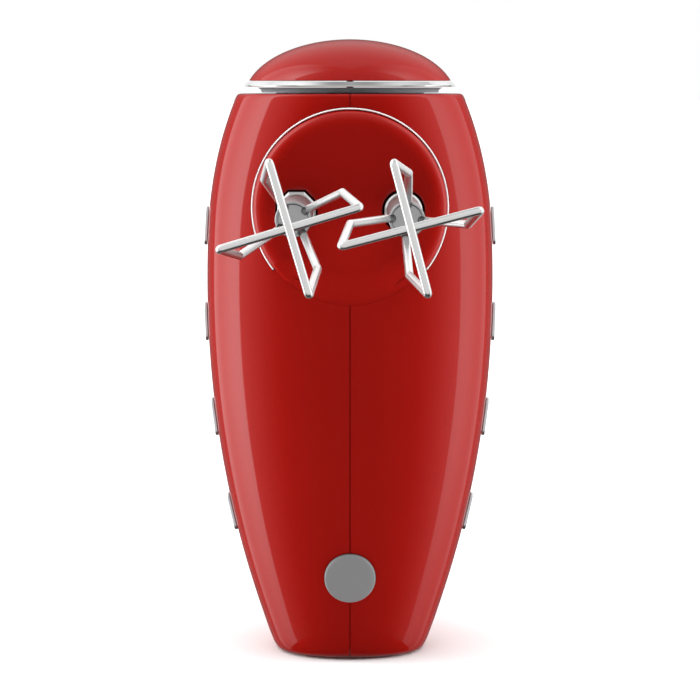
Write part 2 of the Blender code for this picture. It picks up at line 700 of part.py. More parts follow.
def build_ejector(finishes):
    """Button, yoke with its stem, and the spring that returns them."""
    dark, at = finishes["dark_grey"], (0, 12, BEATER_Z)
    yoke = prism("eject_yoke", stadium(16, 44, 7.5), 0, 3, dark, at, ALONG_Y)
    combine(yoke, [lathe("add", plug(3, 1, 66), dark, at, ALONG_Y, 16)], "UNION")
    button = [(0, 78.4), (8.1, 78.4), (8.1, 91.2), (7.2, 92.6), (0, 93.4)]
    lathe("eject_button", button, finishes["chrome"], (0, 0, BEATER_Z), ALONG_Y, 24)
    turns, steps = 6, 8
    low, high = 54.9, 77.4
    coil = []
    for i in range(turns * steps + 1):
        angle = math.tau * i / steps
        y = low + (high - low) * i / (turns * steps)
        coil.append((5.2 * math.cos(angle), y, BEATER_Z + 5.2 * math.sin(angle)))
    wire("eject_spring", coil, 0.5, finishes["steel"], 0)


def beater_point(x, radius, degrees, y):
    """A point at this radius and angle about a beater's axis; the angle runs from +X towards +Z."""
    a = math.radians(degrees)
    return Vector((x + radius * math.cos(a), y, BEATER_Z + radius * math.sin(a)))


def build_beater(label, x, twist, collar_sides, finishes):
    """Shank with its collar, hub, and two bent wire loops that cross at the tip."""
    steel, cast = finishes["steel"], finishes["cast_grey"]
    shank_profile = [(0, -69), (SHANK_R, -69), (SHANK_R, -47.2), (SHANK_R, SHANK_TOP_Y - 1.5)]
    shank_profile += [(SHANK_R - 1.2, SHANK_TOP_Y), (0, SHANK_TOP_Y)]
    shank = lathe(f"beater_{label}_shank", shank_profile, steel, (x, 0, BEATER_Z), ALONG_Y, 16)
    spin = ALONG_Y @ Matrix.Rotation(math.pi / collar_sides, 3, "Z")
    collar = lathe("add", plug(6.3, -47.2, -41.5), cast, (x, 0, BEATER_Z), spin, collar_sides)
    combine(shank, [collar], "UNION")

    hub_profile = [(0, HUB_END_Y + 0.8), (HUB_R - 0.9, HUB_END_Y + 0.8), (HUB_R - 0.7, HUB_END_Y)]
    hub_profile += [(HUB_R, HUB_END_Y + 0.3), (HUB_R, -48.2), (HUB_R - 0.5, -47.5)]
    hub_profile += [(SHANK_R + GAP, -47.5), (SHANK_R + GAP, -70), (0, -70)]
    hub = lathe(f"beater_{label}_hub", hub_profile, cast, (x, 0, BEATER_Z), ALONG_Y, 20)
    seats = []
    for quarter in range(4):
        at = beater_point(x, SEAT_R, BEATER_ANGLE + twist + 90 * quarter, HUB_END_Y)
        seats.append(lathe("cut", plug(WIRE_R + 0.35, -3, 8), cast, at, ALONG_Y, 8))
    combine(hub, seats, "DIFFERENCE")

    crossing = 2 * WIRE_R + GAP
    inner, outer = LOOPS[label]
    for kind, first, radii, tip_y in (
        ("inner_loop", 0, inner, TIP_Y + crossing),
        ("outer_loop", 90, outer, TIP_Y),
    ):
        corners = []
        for half_turn in (0, 180):
            tip = BEATER_ANGLE + first + half_turn
            arm = [
                beater_point(x, SEAT_R, tip + twist, HUB_END_Y + 7),
                beater_point(x, SEAT_R, tip + twist, HUB_END_Y - 1.5),
                beater_point(x, radii[0], tip + twist, BEND_Y),
                beater_point(x, radii[1], tip, tip_y),
            ]
            corners += arm if half_turn == 0 else arm[::-1]
        wire(f"beater_{label}_{kind}", rounded_path(corners, 3.0), WIRE_R, steel, 1)


def main():
    for obj in list(bpy.data.objects):
        bpy.data.objects.remove(obj)
    finishes = {
        "housing_red": material("housing_red", (0.42, 0.012, 0.010), 0.14),
        "chrome": material("chrome", (0.86, 0.87, 0.88), 0.07, 1.0),
        "steel": material("steel", (0.72, 0.72, 0.72), 0.22, 1.0),
        "cast_grey": material("cast_grey", (0.42, 0.42, 0.42), 0.42, 0.9),
        "pad_grey": material("pad_grey", (0.25, 0.25, 0.25), 0.6),
        "grip_grey": material("grip_grey", (0.09, 0.095, 0.10), 0.7),
        "dark_grey": material("dark_grey", (0.07, 0.085, 0.09), 0.45),
        "panel_silver": material("panel_silver", (0.55, 0.56, 0.57), 0.3, 0.8),
        "lens_dark": material("lens_dark", (0.01, 0.01, 0.012), 0.05),
        "board_green": material("board_green", (0.02, 0.15, 0.06), 0.5),
        "iron": material("iron", (0.2, 0.2, 0.21), 0.5, 0.9),
        "copper": material("copper", (0.6, 0.25, 0.1), 0.35, 1.0),
        "brass": material("brass", (0.65, 0.5, 0.2), 0.35, 1.0),
        "carbon": material("carbon", (0.03, 0.03, 0.03), 0.7),
        "gear_white": material("gear_white", (0.8, 0.79, 0.74), 0.5),
    }
    tree = build_housing(finishes)
    build_side_bars(tree, finishes["chrome"])
    build_nose(finishes)
    build_boss(tree, finishes)
    build_controls(finishes)
    build_motor(finishes)
    build_gearbox(finishes)
    build_ejector(finishes)
    build_beater("left", -BEATER_X, BEATER_TWIST, 8, finishes)
    build_beater("right", BEATER_X, -BEATER_TWIST, 20, finishes)


main()
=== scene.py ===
# %% [markdown]
# # A hand mixer parked on its heel
# The mixer stands upright on its rear end with the beaters towards us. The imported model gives
# every moving body and its place; this lesson dresses it. Sizes below are in millimetres, and
# one factor turns them into Blender's metres, because a maker reads 32.4 more easily than 0.0324.

# %% The fixed frame
import json
import math

import bmesh
import bpy
from mathutils import Matrix, Vector
from mathutils.bvhtree import BVHTree
from mathutils.interpolate import poly_3d_calc

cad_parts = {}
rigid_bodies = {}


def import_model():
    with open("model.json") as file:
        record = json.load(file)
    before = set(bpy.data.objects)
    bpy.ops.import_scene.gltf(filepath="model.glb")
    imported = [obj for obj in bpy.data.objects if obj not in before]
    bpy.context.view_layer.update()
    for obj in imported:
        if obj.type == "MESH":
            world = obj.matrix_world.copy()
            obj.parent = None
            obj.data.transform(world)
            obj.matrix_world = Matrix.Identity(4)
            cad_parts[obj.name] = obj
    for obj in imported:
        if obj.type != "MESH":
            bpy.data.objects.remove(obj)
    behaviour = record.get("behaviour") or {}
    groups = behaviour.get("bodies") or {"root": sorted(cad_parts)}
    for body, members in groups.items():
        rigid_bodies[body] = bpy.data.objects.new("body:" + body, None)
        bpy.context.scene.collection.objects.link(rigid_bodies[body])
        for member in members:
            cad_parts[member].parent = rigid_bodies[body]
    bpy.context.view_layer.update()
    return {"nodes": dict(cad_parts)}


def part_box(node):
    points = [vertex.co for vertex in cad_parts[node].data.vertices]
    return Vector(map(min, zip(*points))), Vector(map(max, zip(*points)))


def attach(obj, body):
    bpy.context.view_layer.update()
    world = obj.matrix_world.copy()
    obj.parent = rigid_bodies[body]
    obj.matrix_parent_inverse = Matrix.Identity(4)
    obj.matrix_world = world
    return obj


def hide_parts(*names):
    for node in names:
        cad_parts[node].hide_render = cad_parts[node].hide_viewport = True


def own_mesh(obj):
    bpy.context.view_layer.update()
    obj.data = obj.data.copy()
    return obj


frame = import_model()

MM = 0.001
nodes = frame["nodes"]


def node_box(node):
    """Lowest and highest corner of a CAD node, in millimetres."""
    low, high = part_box(node)
    return low / MM, high / MM


# %% [markdown]
# ## Where the main pieces are
# The two drive sockets, the round boss around them and the nose are all centred on lines that the
# CAD fixes. Reading those lines from the nodes' boxes keeps the fine pieces exactly on the joints'
# axes, so a beater still turns about its own middle.

# %% Lines and levels read from the CAD
socket_low, socket_high = node_box("spindle_right")
SOCKET_X = (socket_low.x + socket_high.x) / 2
SOCKET_Z = (socket_low.z + socket_high.z) / 2
boss_low, boss_high = node_box("beater_boss")
BOSS_R = (boss_high.x - boss_low.x) / 2
BOSS_Z = (boss_low.z + boss_high.z) / 2
BOSS_FACE = boss_low.y
BOSS_BACK = boss_high.y
FRONT_Z = node_box("housing_right")[1].z
HUB_END = node_box("beater_right_hub")[0].y
TIP_Y = node_box("beater_right_outer_loop")[0].y
print(f"sockets at x = +-{SOCKET_X:.1f}, z = {SOCKET_Z:.1f}; boss radius {BOSS_R:.1f}")
print(f"front face at z = {FRONT_Z:.1f}, beater tips at y = {TIP_Y:.1f}")

# %% [markdown]
# ## Shader maths that reads like arithmetic
# A moulded or brushed finish is a few numbers that change over the surface. Wiring Math nodes by
# hand hides that, so a value here is a small object: adding or multiplying two of them adds the
# node. One method makes every other node from its type, its settings and its inputs.


# %% Values, and the tree that makes them
class Value:
    """An output socket that arithmetic can be done with."""

    def __init__(self, net, socket):
        self.net, self.socket = net, socket

    def __add__(self, other):
        return self.net.maths("ADD", self, other)

    def __sub__(self, other):
        return self.net.maths("SUBTRACT", self, other)

    def __rsub__(self, other):
        return self.net.maths("SUBTRACT", other, self)

    def __mul__(self, other):
        return self.net.maths("MULTIPLY", self, other)

    def __gt__(self, other):
        return self.net.maths("GREATER_THAN", self, other)

    def __lt__(self, other):
        return self.net.maths("LESS_THAN", self, other)

    def __pow__(self, power):
        return self.net.maths("POWER", self, power)

    __radd__, __rmul__ = __add__, __mul__


class Net:
    """A node tree of any kind, built one node at a time."""

    def __init__(self, tree):
        self.tree = tree

    def feed(self, socket, value):
        if isinstance(value, Value):
            self.tree.links.new(value.socket, socket)
        else:
            socket.default_value = value

    def add(self, kind, inputs=None, output=0, **settings):
        """Any node. Its settings come first, because some of them change its sockets."""
        node = self.tree.nodes.new(kind)
        for key, value in settings.items():
            setattr(node, key, value)
        for key, value in (inputs or {}).items():
            self.feed(node.inputs[key], value)
        return Value(self, node.outputs[output])

    def maths(self, operation, a, b=0.0):
        return self.add("ShaderNodeMath", {0: a, 1: b}, operation=operation)

    def vector(self, x=0.0, y=0.0, z=0.0):
        return self.add("ShaderNodeCombineXYZ", {0: x, 1: y, 2: z})

    def blend(self, share, first, second):
        """Mixes two colours."""
        first, second = ((*c, 1.0) if isinstance(c, tuple) else c for c in (first, second))
        return self.add("ShaderNodeMix", {0: share, 6: first, 7: second}, 2, data_type="RGBA")

    def step(self, value, low, high):
        """Rises smoothly from 0 at low to 1 at high."""
        inputs = {0: value, 1: low, 2: high}
        return self.add("ShaderNodeMapRange", inputs, interpolation_type="SMOOTHSTEP")

    def part(self, vector, axis):
        """One coordinate of a vector."""
        return self.add("ShaderNodeSeparateXYZ", {0: vector}, "XYZ".index(axis))

    def noise(self, vector, scale, detail=2.0, roughness=0.5):
        inputs = {"Vector": vector, "Scale": scale, "Detail": detail, "Roughness": roughness}
        return self.add("ShaderNodeTexNoise", inputs)


class Finish(Net):
    """One material: a Principled surface whose colour, roughness and relief come from nodes."""

    def __init__(self, name, metallic=0.0, specular=0.5):
        self.material = bpy.data.materials.new(name)
        self.material.use_nodes = True
        super().__init__(self.material.node_tree)
        self.surface = self.tree.nodes["Principled BSDF"]
        self.surface.inputs["Metallic"].default_value = metallic
        self.surface.inputs["Specular IOR Level"].default_value = specular
        self.place = self.add("ShaderNodeTexCoord", output="Object")

    def stretched(self, x, y, z):
        """The place in millimetres, scaled on each axis."""
        scale = (x / MM, y / MM, z / MM)
        return self.add("ShaderNodeMapping", {"Vector": self.place, "Scale": scale})

    def mottle(self, per_mm, detail, roughness=0.5):
        """Noise with about this many cells to the millimetre, alike on every axis."""
        return self.noise(self.stretched(per_mm, per_mm, per_mm), 1.0, detail, roughness)

    def give(self, colour, roughness, height=None, relief=0.0):
        """Sets the surface. Relief is how deep the height pattern goes, in millimetres."""
        self.feed(self.surface.inputs["Base Color"], colour)
        self.feed(self.surface.inputs["Roughness"], roughness)
        if height is not None:
            inputs = {"Strength": 1.0, "Distance": relief * MM, "Height": height}
            self.feed(self.surface.inputs["Normal"], self.add("ShaderNodeBump", inputs))
        return self.material


print("node helpers ready")

# %% [markdown]
# ## The finishes
# The body is lacquered deep red and very glossy. A lacquer is never a perfect mirror: it carries a
# faint orange peel a millimetre or two across, a few thousandths deep, and its colour drifts a
# little. Both come from noise on Object coordinates, which stay put when a body moves.


# %% Red lacquer
def red_lacquer():
    finish = Finish("red_lacquer", specular=0.3)
    drift, peel, haze = finish.mottle(0.03, 3.0), finish.mottle(0.55, 1.0), finish.mottle(0.2, 4.0, 0.6)
    colour = finish.blend(drift, (0.242, 0.0052, 0.0034), (0.258, 0.0060, 0.0040))
    return finish.give(colour, 0.035 + haze * 0.03, peel, 0.0022)


# %% [markdown]
# ## Metals
# The ring, bars and trim are polished and plated; the wires are drawn and polished steel, so their
# fine lines run every way once they are bent; the hubs are cast and turned, and the tool leaves
# rings on the end face. Each is one metallic surface, and only roughness and relief differ.


# %% Plated, drawn and turned metal
def plated(name, colour, rough, metallic=1.0):
    finish = Finish(name, metallic=metallic)
    smear, fine = finish.mottle(0.25, 5.0, 0.65), finish.mottle(2.6, 2.0)
    tint = finish.blend(smear, tuple(c * 0.94 for c in colour), colour)
    return finish.give(tint, rough + smear * 0.06, fine, 0.0012)


def turned_metal(name, colour, rough, centre, relief, rings_per_mm=5.0):
    """Metal with fine rings round an axis along Y, and the same round its mirror image in X."""
    finish = Finish(name, metallic=1.0)
    x, z = (finish.part(finish.place, axis) * (1 / MM) for axis in "XZ")
    x, z = finish.maths("ABSOLUTE", x) - centre[0], z - centre[1]
    radius = (x * x + z * z) ** 0.5
    rings = finish.noise(finish.vector(radius * rings_per_mm), 1.0)
    cloud = finish.mottle(0.35, 4.0, 0.6)
    tint = finish.blend(cloud * rings + 0.3, tuple(c * 0.72 for c in colour), colour)
    return finish.give(tint, rough + rings * 0.12, rings, relief)


# %% [markdown]
# ## Rubber, moulded plastic and the motor's materials
# The rest pad and the grip are soft and matt with a grain of about half a millimetre. The moulded
# plastics have a spark-eroded grain, much finer. Inside, the iron is stacked from thin sheets, the
# copper is wound, the board is printed and the brushes are pressed carbon: one pattern each.


# %% Soft and moulded
def grained(name, dark, light, rough, size, relief):
    """A matt surface with a grain of that size in millimetres."""
    finish = Finish(name, specular=0.4)
    grain, cloud = finish.mottle(1 / size, 3.0, 0.6), finish.mottle(0.06, 3.0)
    tint = finish.blend(cloud * 0.6 + grain * 0.4, dark, light)
    return finish.give(tint, rough + grain * 0.12, grain, relief)


# %% The motor's layers, and the board
def layered(name, dark, light, rough, pitch, relief):
    """Metal sheets or turns stacked along Z, so many millimetres apart."""
    finish = Finish(name, metallic=1.0)
    along = finish.part(finish.place, "Z") * (math.tau / pitch / MM)
    wave = finish.maths("SINE", along) * 0.5 + 0.5
    cloud = finish.mottle(0.3, 3.0)
    tint = finish.blend(wave * 0.7 + cloud * 0.3, dark, light)
    return finish.give(tint, rough + cloud * 0.15, wave, relief)


def printed_board(pitches=(2.4, 3.1)):
    """Green board with copper tracks that run one way here and the other way there."""
    finish = Finish("printed_board")
    across, along = (
        finish.maths("PINGPONG", finish.part(finish.place, axis) * (1 / MM), pitch / 2) > pitch * 0.4
        for axis, pitch in zip("XZ", pitches)
    )
    cells = finish.mottle(0.22, 0.0)
    copper = across * (cells > 0.5) + along * (0.5 > cells)
    tint = finish.blend(copper, (0.012, 0.10, 0.035), (0.05, 0.22, 0.09))
    return finish.give(tint, 0.42 - copper * 0.1, copper, 0.03)


# %% Panel and window
def brushed_panel():
    """Silver paint over fine lines that run across the handle."""
    finish = Finish("brushed_panel", metallic=0.85)
    lines = finish.noise(finish.stretched(0.05, 4.0, 9.0), 1.0, 3.0, 0.7)
    tint = finish.blend(lines, (0.50, 0.51, 0.52), (0.66, 0.67, 0.68))
    return finish.give(tint, 0.24 + lines * 0.12, lines, 0.004)


def smoked_window():
    finish = Finish("smoked_window", specular=0.7)
    depth = finish.mottle(0.1, 2.0)
    tint = finish.blend(depth, (0.004, 0.004, 0.005), (0.012, 0.012, 0.014))
    return finish.give(tint, 0.03 + depth * 0.02)


# %% Every finish by the slot it belongs to
finishes = {
    "housing_red": red_lacquer(),
    "chrome": plated("bright_plating", (0.90, 0.905, 0.91), 0.05),
    "steel": plated("polished_steel", (0.90, 0.90, 0.895), 0.26),
    "cast_grey": turned_metal(
        "turned_casting", (0.52, 0.52, 0.525), 0.34, (SOCKET_X, SOCKET_Z), 0.03
    ),
    "pad_grey": grained(
        "pad_rubber", (0.185, 0.185, 0.187), (0.215, 0.215, 0.217), 0.55, 0.45, 0.02
    ),
    "grip_grey": grained(
        "grip_rubber", (0.05, 0.052, 0.056), (0.075, 0.077, 0.082), 0.6, 0.4, 0.03
    ),
    "dark_grey": grained("moulded_grey", (0.085, 0.11, 0.12), (0.12, 0.15, 0.165), 0.4, 0.25, 0.01),
    "panel_silver": brushed_panel(),
    "lens_dark": smoked_window(),
    "board_green": printed_board(),
    "iron": layered("stacked_iron", (0.10, 0.10, 0.105), (0.30, 0.30, 0.31), 0.4, 0.7, 0.06),
    "copper": layered("wound_copper", (0.30, 0.09, 0.035), (0.80, 0.36, 0.16), 0.3, 0.65, 0.12),
    "brass": plated("drawn_brass", (0.72, 0.52, 0.22), 0.28),
    "carbon": grained(
        "pressed_carbon", (0.012, 0.012, 0.013), (0.045, 0.045, 0.047), 0.6, 0.3, 0.03
    ),
    "gear_white": grained("gear_nylon", (0.66, 0.64, 0.58), (0.74, 0.72, 0.66), 0.42, 0.5, 0.006),
}
trim_plating = plated("wire_plating", (0.86, 0.86, 0.86), 0.36, 0.35)
ring_plating = plated("ring_plating", (0.64, 0.645, 0.65), 0.12)
bar_plating = plated("bar_plating", (0.74, 0.75, 0.76), 0.3)
# A lighter copy of the moulded grey for the nose's waist. Its brighter colour is painted light that
# lifts the shade under the plate.
waist_grey = grained("waist_grey", (0.30, 0.335, 0.355), (0.36, 0.395, 0.42), 0.4, 0.25, 0.01)

# %% [markdown]
# ## The CAD nodes keep their place and take a finish
# Every node first gets the finish of its own slot. The ones that a finer piece replaces later are
# hidden by that call; the motor, gears and frame inside stay as they are and keep these.

# %% Dressing every node
for node in nodes.values():
    slot = node.data.materials[0].name.split(".")[0]
    node.data.materials.clear()
    node.data.materials.append(finishes[slot])
print("dressed", len(nodes), "CAD nodes")

# %% [markdown]
# ## Tools for solid pieces
# Three ways cover nearly everything here. A profile spun round an axis makes the nose, pads and
# buttons. A flat outline pushed out and rounded at its rim makes bars, panels and keys. A round
# section carried along a path makes the wires. All meshes are built in place, so the finished
# object sits at the origin, unturned, as the export needs.

# %% Turns that carry a local frame into the row frame
ALONG_Z = Matrix.Identity(3)
ALONG_Y = Matrix(((1, 0, 0), (0, 0, 1), (0, -1, 0)))


def facing(normal, up=Vector((0, 0, 1))):
    """A turn whose local Z is this normal and whose local Y is as near to up as it can be."""
    z = Vector(normal).normalized()
    x = up.cross(z).normalized()
    return Matrix((x, z.cross(x), z)).transposed()


# %% From a bmesh in millimetres to a finished object
def settle(name, bm, finish, origin=(0, 0, 0), turn=ALONG_Z, crease=32.0):
    """Makes the object at the origin, with its place in its mesh. Edges over crease stay sharp."""
    bmesh.ops.remove_doubles(bm, verts=bm.verts, dist=1e-4)
    bmesh.ops.recalc_face_normals(bm, faces=bm.faces)
    matrix = Matrix.Translation(Vector(origin)) @ turn.to_4x4()
    bmesh.ops.transform(bm, matrix=Matrix.Scale(MM, 4) @ matrix, verts=bm.verts)
    mesh = bpy.data.meshes.new(name)
    bm.to_mesh(mesh)
    bm.free()
    mesh.shade_smooth()
    mesh.set_sharp_from_angle(angle=math.radians(crease))
    obj = bpy.data.objects.new(name, mesh)
    obj.data.materials.append(finish)
    bpy.context.scene.collection.objects.link(obj)
    return obj


def bridge(bm, rings, closed=False):
    """Walls between one ring of vertices and the next."""
    pairs = list(zip(rings, rings[1:])) + ([(rings[-1], rings[0])] if closed else [])
    for ring, following in pairs:
        for i in range(len(ring)):
            j = (i + 1) % len(ring)
            bm.faces.new((ring[i], ring[j], following[j], following[i]))


# %% Spun, pushed and drawn shapes
def spun(name, profile, finish, origin, turn=ALONG_Z, steps=96, crease=32.0):
    """Spins (radius, height) points about local Z. Ends on the axis make a solid, others a ring."""
    bm = bmesh.new()
    verts = [bm.verts.new((r, 0, h)) for r, h in profile]
    edges = [bm.edges.new(pair) for pair in zip(verts, verts[1:])]
    if profile[0][0] > 0 or profile[-1][0] > 0:
        edges.append(bm.edges.new((verts[-1], verts[0])))
    bmesh.ops.spin(
        bm, geom=verts + edges, cent=(0, 0, 0), axis=(0, 0, 1), angle=math.tau, steps=steps
    )
    return settle(name, bm, finish, origin, turn, crease)


def pushed(name, outline, low, high, finish, origin=(0, 0, 0), turn=ALONG_Z, rim=0.0, foot=0.0):
    """Pushes a flat outline along local Z and rounds the edges at its two ends."""
    bm = bmesh.new()
    face = bm.faces.new([bm.verts.new((x, y, low)) for x, y in outline])
    grown = bmesh.ops.extrude_face_region(bm, geom=[face])
    top = [v for v in grown["geom"] if isinstance(v, bmesh.types.BMVert)]
    bmesh.ops.translate(bm, vec=(0, 0, high - low), verts=top)
    for amount, level in ((rim, high), (foot, low)):
        if amount:
            edges = [e for e in bm.edges if all(abs(v.co.z - level) < 1e-6 for v in e.verts)]
            bmesh.ops.bevel(bm, geom=edges, offset=amount, segments=4, profile=0.5, affect="EDGES")
    return settle(name, bm, finish, origin, turn)


def drawn(name, points, radius, finish, sides):
    """A round wire along points, with rounded ends."""
    points = [Vector(p) for p in points]
    ahead = [(b - a).normalized() for a, b in zip(points, points[1:])]
    tangents = [ahead[0]] + [(a + b).normalized() for a, b in zip(ahead, ahead[1:])] + [ahead[-1]]
    start, end = tangents[0], tangents[-1]
    cap = [(share, math.sqrt(1 - share * share)) for share in (0.2, 0.6, 0.88)]
    stations = [(points[0] - start * radius * reach, start, radius * share) for share, reach in cap]
    stations += [(p, t, radius) for p, t in zip(points, tangents)]
    stations += [(points[-1] + end * radius * reach, end, radius * share) for share, reach in cap[::-1]]
    bm = bmesh.new()
    rings = []
    normal, last = start.orthogonal().normalized(), start
    for place, tangent, r in stations:
        normal = (last.rotation_difference(tangent) @ normal).normalized()
        normal = (normal - tangent * normal.dot(tangent)).normalized()
        side, last = tangent.cross(normal), tangent
        rings.append([bm.verts.new(place + (normal * c + side * s) * r) for c, s in circle(1.0, sides)])
    bridge(bm, rings)
    bm.faces.new(rings[0])
    bm.faces.new(rings[-1])
    return settle(name, bm, finish, crease=60.0)


# %% Outlines
def circle(radius, steps=48):
    turns = [math.tau * i / steps for i in range(steps)]
    return [(radius * math.cos(a), radius * math.sin(a)) for a in turns]


def stadium(length, width, corner, steps=12):
    """A rectangle with round corners, centred, longest along local Y."""
    points = []
    half_w, half_l = width / 2 - corner, length / 2 - corner
    for quarter, (sx, sy) in enumerate(((1, 1), (-1, 1), (-1, -1), (1, -1))):
        for i in range(steps + 1):
            a = math.radians(90 * quarter + 90 * i / steps)
            points.append((sx * half_w + corner * math.cos(a), sy * half_l + corner * math.sin(a)))
    return points


def fillet(centre, radius, start, end, steps=6):
    """Points of an arc in a profile, from one angle to another in degrees."""
    angles = [math.radians(start + (end - start) * i / steps) for i in range(steps + 1)]
    return [(centre[0] + radius * math.cos(a), centre[1] + radius * math.sin(a)) for a in angles]


# %% Cutting and joining
def combined(target, others, operation):
    """Applies one Boolean with each other object, then removes those."""
    for other in others:
        modifier = target.modifiers.new("combine", "BOOLEAN")
        modifier.operation, modifier.object, modifier.solver = operation, other, "EXACT"
    bpy.context.view_layer.update()
    graph = bpy.context.evaluated_depsgraph_get()
    target.data = bpy.data.meshes.new_from_object(target.evaluated_get(graph))
    target.modifiers.clear()
    for other in others:
        bpy.data.objects.remove(other)
    return target


def joined(target, others):
    """Puts other objects' faces into the target's mesh without a Boolean."""
    bm = bmesh.new()
    bm.from_mesh(target.data)
    for other in others:
        bm.from_mesh(other.data)
        bpy.data.objects.remove(other)
    bm.to_mesh(target.data)
    bm.free()
    return target


def creased(obj, angle=32.0):
    obj.data.shade_smooth()
    obj.data.set_sharp_from_angle(angle=math.radians(angle))
    return obj


def place_piece(obj, body, slot, *stood_for):
    """Says which body a finished piece moves with, its slot, and the nodes that it stands for."""
    obj.name = obj.data.name = obj.name.split(".")[0]
    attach(obj, body)
    if stood_for:
        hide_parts(*stood_for)
    print(f"{obj.name}: {len(obj.data.polygons)} faces on {body}")
    return obj


# %% [markdown]
# ## Rules that repeat: Geometry Nodes
# Ribs on the heel pad and on the grip are one small bar repeated along a line, and a coil spring
# is one round section carried along a spiral. A node tree states such a rule once, with the count
# and the sizes as named inputs. The result is turned into a plain mesh straight away.


# %% A tree with named inputs, and its plain result
class Grower(Net):
    """A Geometry Nodes tree. Its inputs are made by name and set by their identifiers."""

    def __init__(self, name, inputs):
        tree = bpy.data.node_groups.new(name, "GeometryNodeTree")
        super().__init__(tree)
        kinds = {int: "NodeSocketInt", float: "NodeSocketFloat"}
        tree.interface.new_socket("Geometry", in_out="OUTPUT", socket_type="NodeSocketGeometry")
        self.values = {}
        for key, value in inputs.items():
            socket = tree.interface.new_socket(key, in_out="INPUT", socket_type=kinds[type(value)])
            self.values[socket.identifier] = value
        self.start = tree.nodes.new("NodeGroupInput")

    def given(self, key):
        return Value(self, self.start.outputs[key])

    def repeated(self, points, shape):
        """The shape at every point."""
        inputs = {"Points": points, "Instance": shape}
        return self.add("GeometryNodeInstanceOnPoints", inputs)

    def tube(self, path, radius, sides):
        """A round section carried along a curve."""
        inputs = {"Resolution": sides, "Radius": radius}
        section = self.add("GeometryNodeCurvePrimitiveCircle", inputs)
        inputs = {"Curve": path, "Profile Curve": section, "Fill Caps": True}
        return self.add("GeometryNodeCurveToMesh", inputs)

    def grow(self, name, geometry, finish):
        """Realizes the geometry with its finish and returns it as a plain mesh object."""
        real = self.add("GeometryNodeRealizeInstances", {0: geometry})
        dressed = self.add("GeometryNodeSetMaterial", {"Geometry": real, "Material": finish})
        end = self.tree.nodes.new("NodeGroupOutput")
        self.feed(end.inputs[0], dressed)
        obj = bpy.data.objects.new(name, bpy.data.meshes.new(name))
        bpy.context.scene.collection.objects.link(obj)
        modifier = obj.modifiers.new("grow", "NODES")
        modifier.node_group = self.tree
        for identifier, value in self.values.items():
            modifier[identifier] = value
        graph = bpy.context.evaluated_depsgraph_get()
        mesh = bpy.data.meshes.new_from_object(obj.evaluated_get(graph))
        obj.modifiers.clear()
        obj.data = mesh
        return obj


# %% [markdown]
# ## The body's skin
# The body is a blunt egg that flows into a closed handle at the back. It could be carved from
# solids, but every cut would show in a gloss this high. A coarse cage of rings under a subdivision
# surface keeps one continuous curvature, and the same rings as the CAD keep the same size.

# %% Rings of the cage, as in the CAD
FACE_Z = 192.4
WIDEST_Z = 128.0
HALF_WIDTH = 49.7
BELLY = 43.5
BACK = 38.0
RING_SWELL = 1.025
CAVITY_INSET = 3.6
RING_ANGLES = (0, 16, 32, 56, 82, 108, 134, 158, 180, 202, 226, 252, 278, 304, 328, 344)
FRONT_ROWS = (183.0, 172.0, 160.0, 149.0)
REAR_ROWS = (8.0, 18.0, 29.5, 41.5)
BODY_ROWS = (191.2, *FRONT_ROWS, 131.0, 113.0, 95.0, 77.0, 58.0, *reversed(REAR_ROWS))
FACE_SHARES = ((0.45, 0.45), (0.93, 0.93), (0.995, 0.995))
HEEL_ROWS = (
    (3.0, (1.0, 0.98)),
    (0.5, (0.985, 0.90)),
    (0.2, (0.93, 0.79)),
    (0.2, (0.65, 0.55)),
    (0.2, (0.3, 0.25)),
)
EDGE_DROP = 1.2
PATCH_COLUMNS = (2, 1, 0, 15, 14)
HANDLE_ANGLES = (60, 30, 0, -30, -60, -80, -100, -120, -150, 180, 150, 120, 100, 80)
HANDLE_SECTIONS = (
    ((50.0, 184.0), (46.0, 145.0), 25.0),
    ((66.0, 177.0), (56.0, 141.0), 21.0),
    ((81.0, 163.0), (63.5, 132.0), 18.5),
    ((89.5, 143.0), (66.0, 117.0), 17.0),
    ((93.0, 117.0), (66.5, 101.0), 16.0),
    ((94.0, 89.0), (66.5, 83.0), 15.5),
    ((92.0, 61.0), (65.0, 65.0), 16.0),
    ((85.0, 36.0), (61.0, 51.0), 17.0),
    ((70.0, 16.5), (52.0, 44.5), 19.0),
    ((50.0, 8.0), (44.0, 42.0), 22.0),
)


def fall(z, at_face, at_heel):
    """How far an outline has come in at z, from nothing at the widest station."""
    if z > WIDEST_Z:
        return at_face * ((z - WIDEST_Z) / (FACE_Z - WIDEST_Z)) ** 2.7
    return at_heel * ((WIDEST_Z - z) / WIDEST_Z) ** 2.1


def bent(value, power):
    """A power that keeps the sign."""
    return math.copysign(abs(value) ** power, value)


def body_point(z, degrees, inset, share):
    power = 2 / (2.0 + 0.25 * min(1.0, (FACE_Z - z) / 45.0))
    s, c = math.sin(math.radians(degrees)), math.cos(math.radians(degrees))
    half_width = HALF_WIDTH - fall(z, 10.6, 23.8) - inset
    depth = (BACK - fall(z, 0.0, 8.0) if c > 0 else BELLY - fall(z, 5.5, 17.0)) - inset
    x, y = half_width * bent(s, power) * share[0], depth * bent(c, power) * share[1]
    return Vector((x * RING_SWELL, y * RING_SWELL, z))


def handle_ring(outer, inner, half_width, inset):
    middle = (Vector((0, *outer)) + Vector((0, *inner))) / 2
    reach = (Vector((0, *outer)) - Vector((0, *inner))) / 2
    reach = reach.normalized() * (reach.length - inset) * RING_SWELL
    points = []
    for degrees in HANDLE_ANGLES:
        s, c = math.sin(math.radians(degrees)), math.cos(math.radians(degrees))
        across = Vector(((half_width - inset) * bent(s, 0.87) * RING_SWELL, 0, 0))
        points.append(middle + across + reach * bent(c, 0.87))
    return points


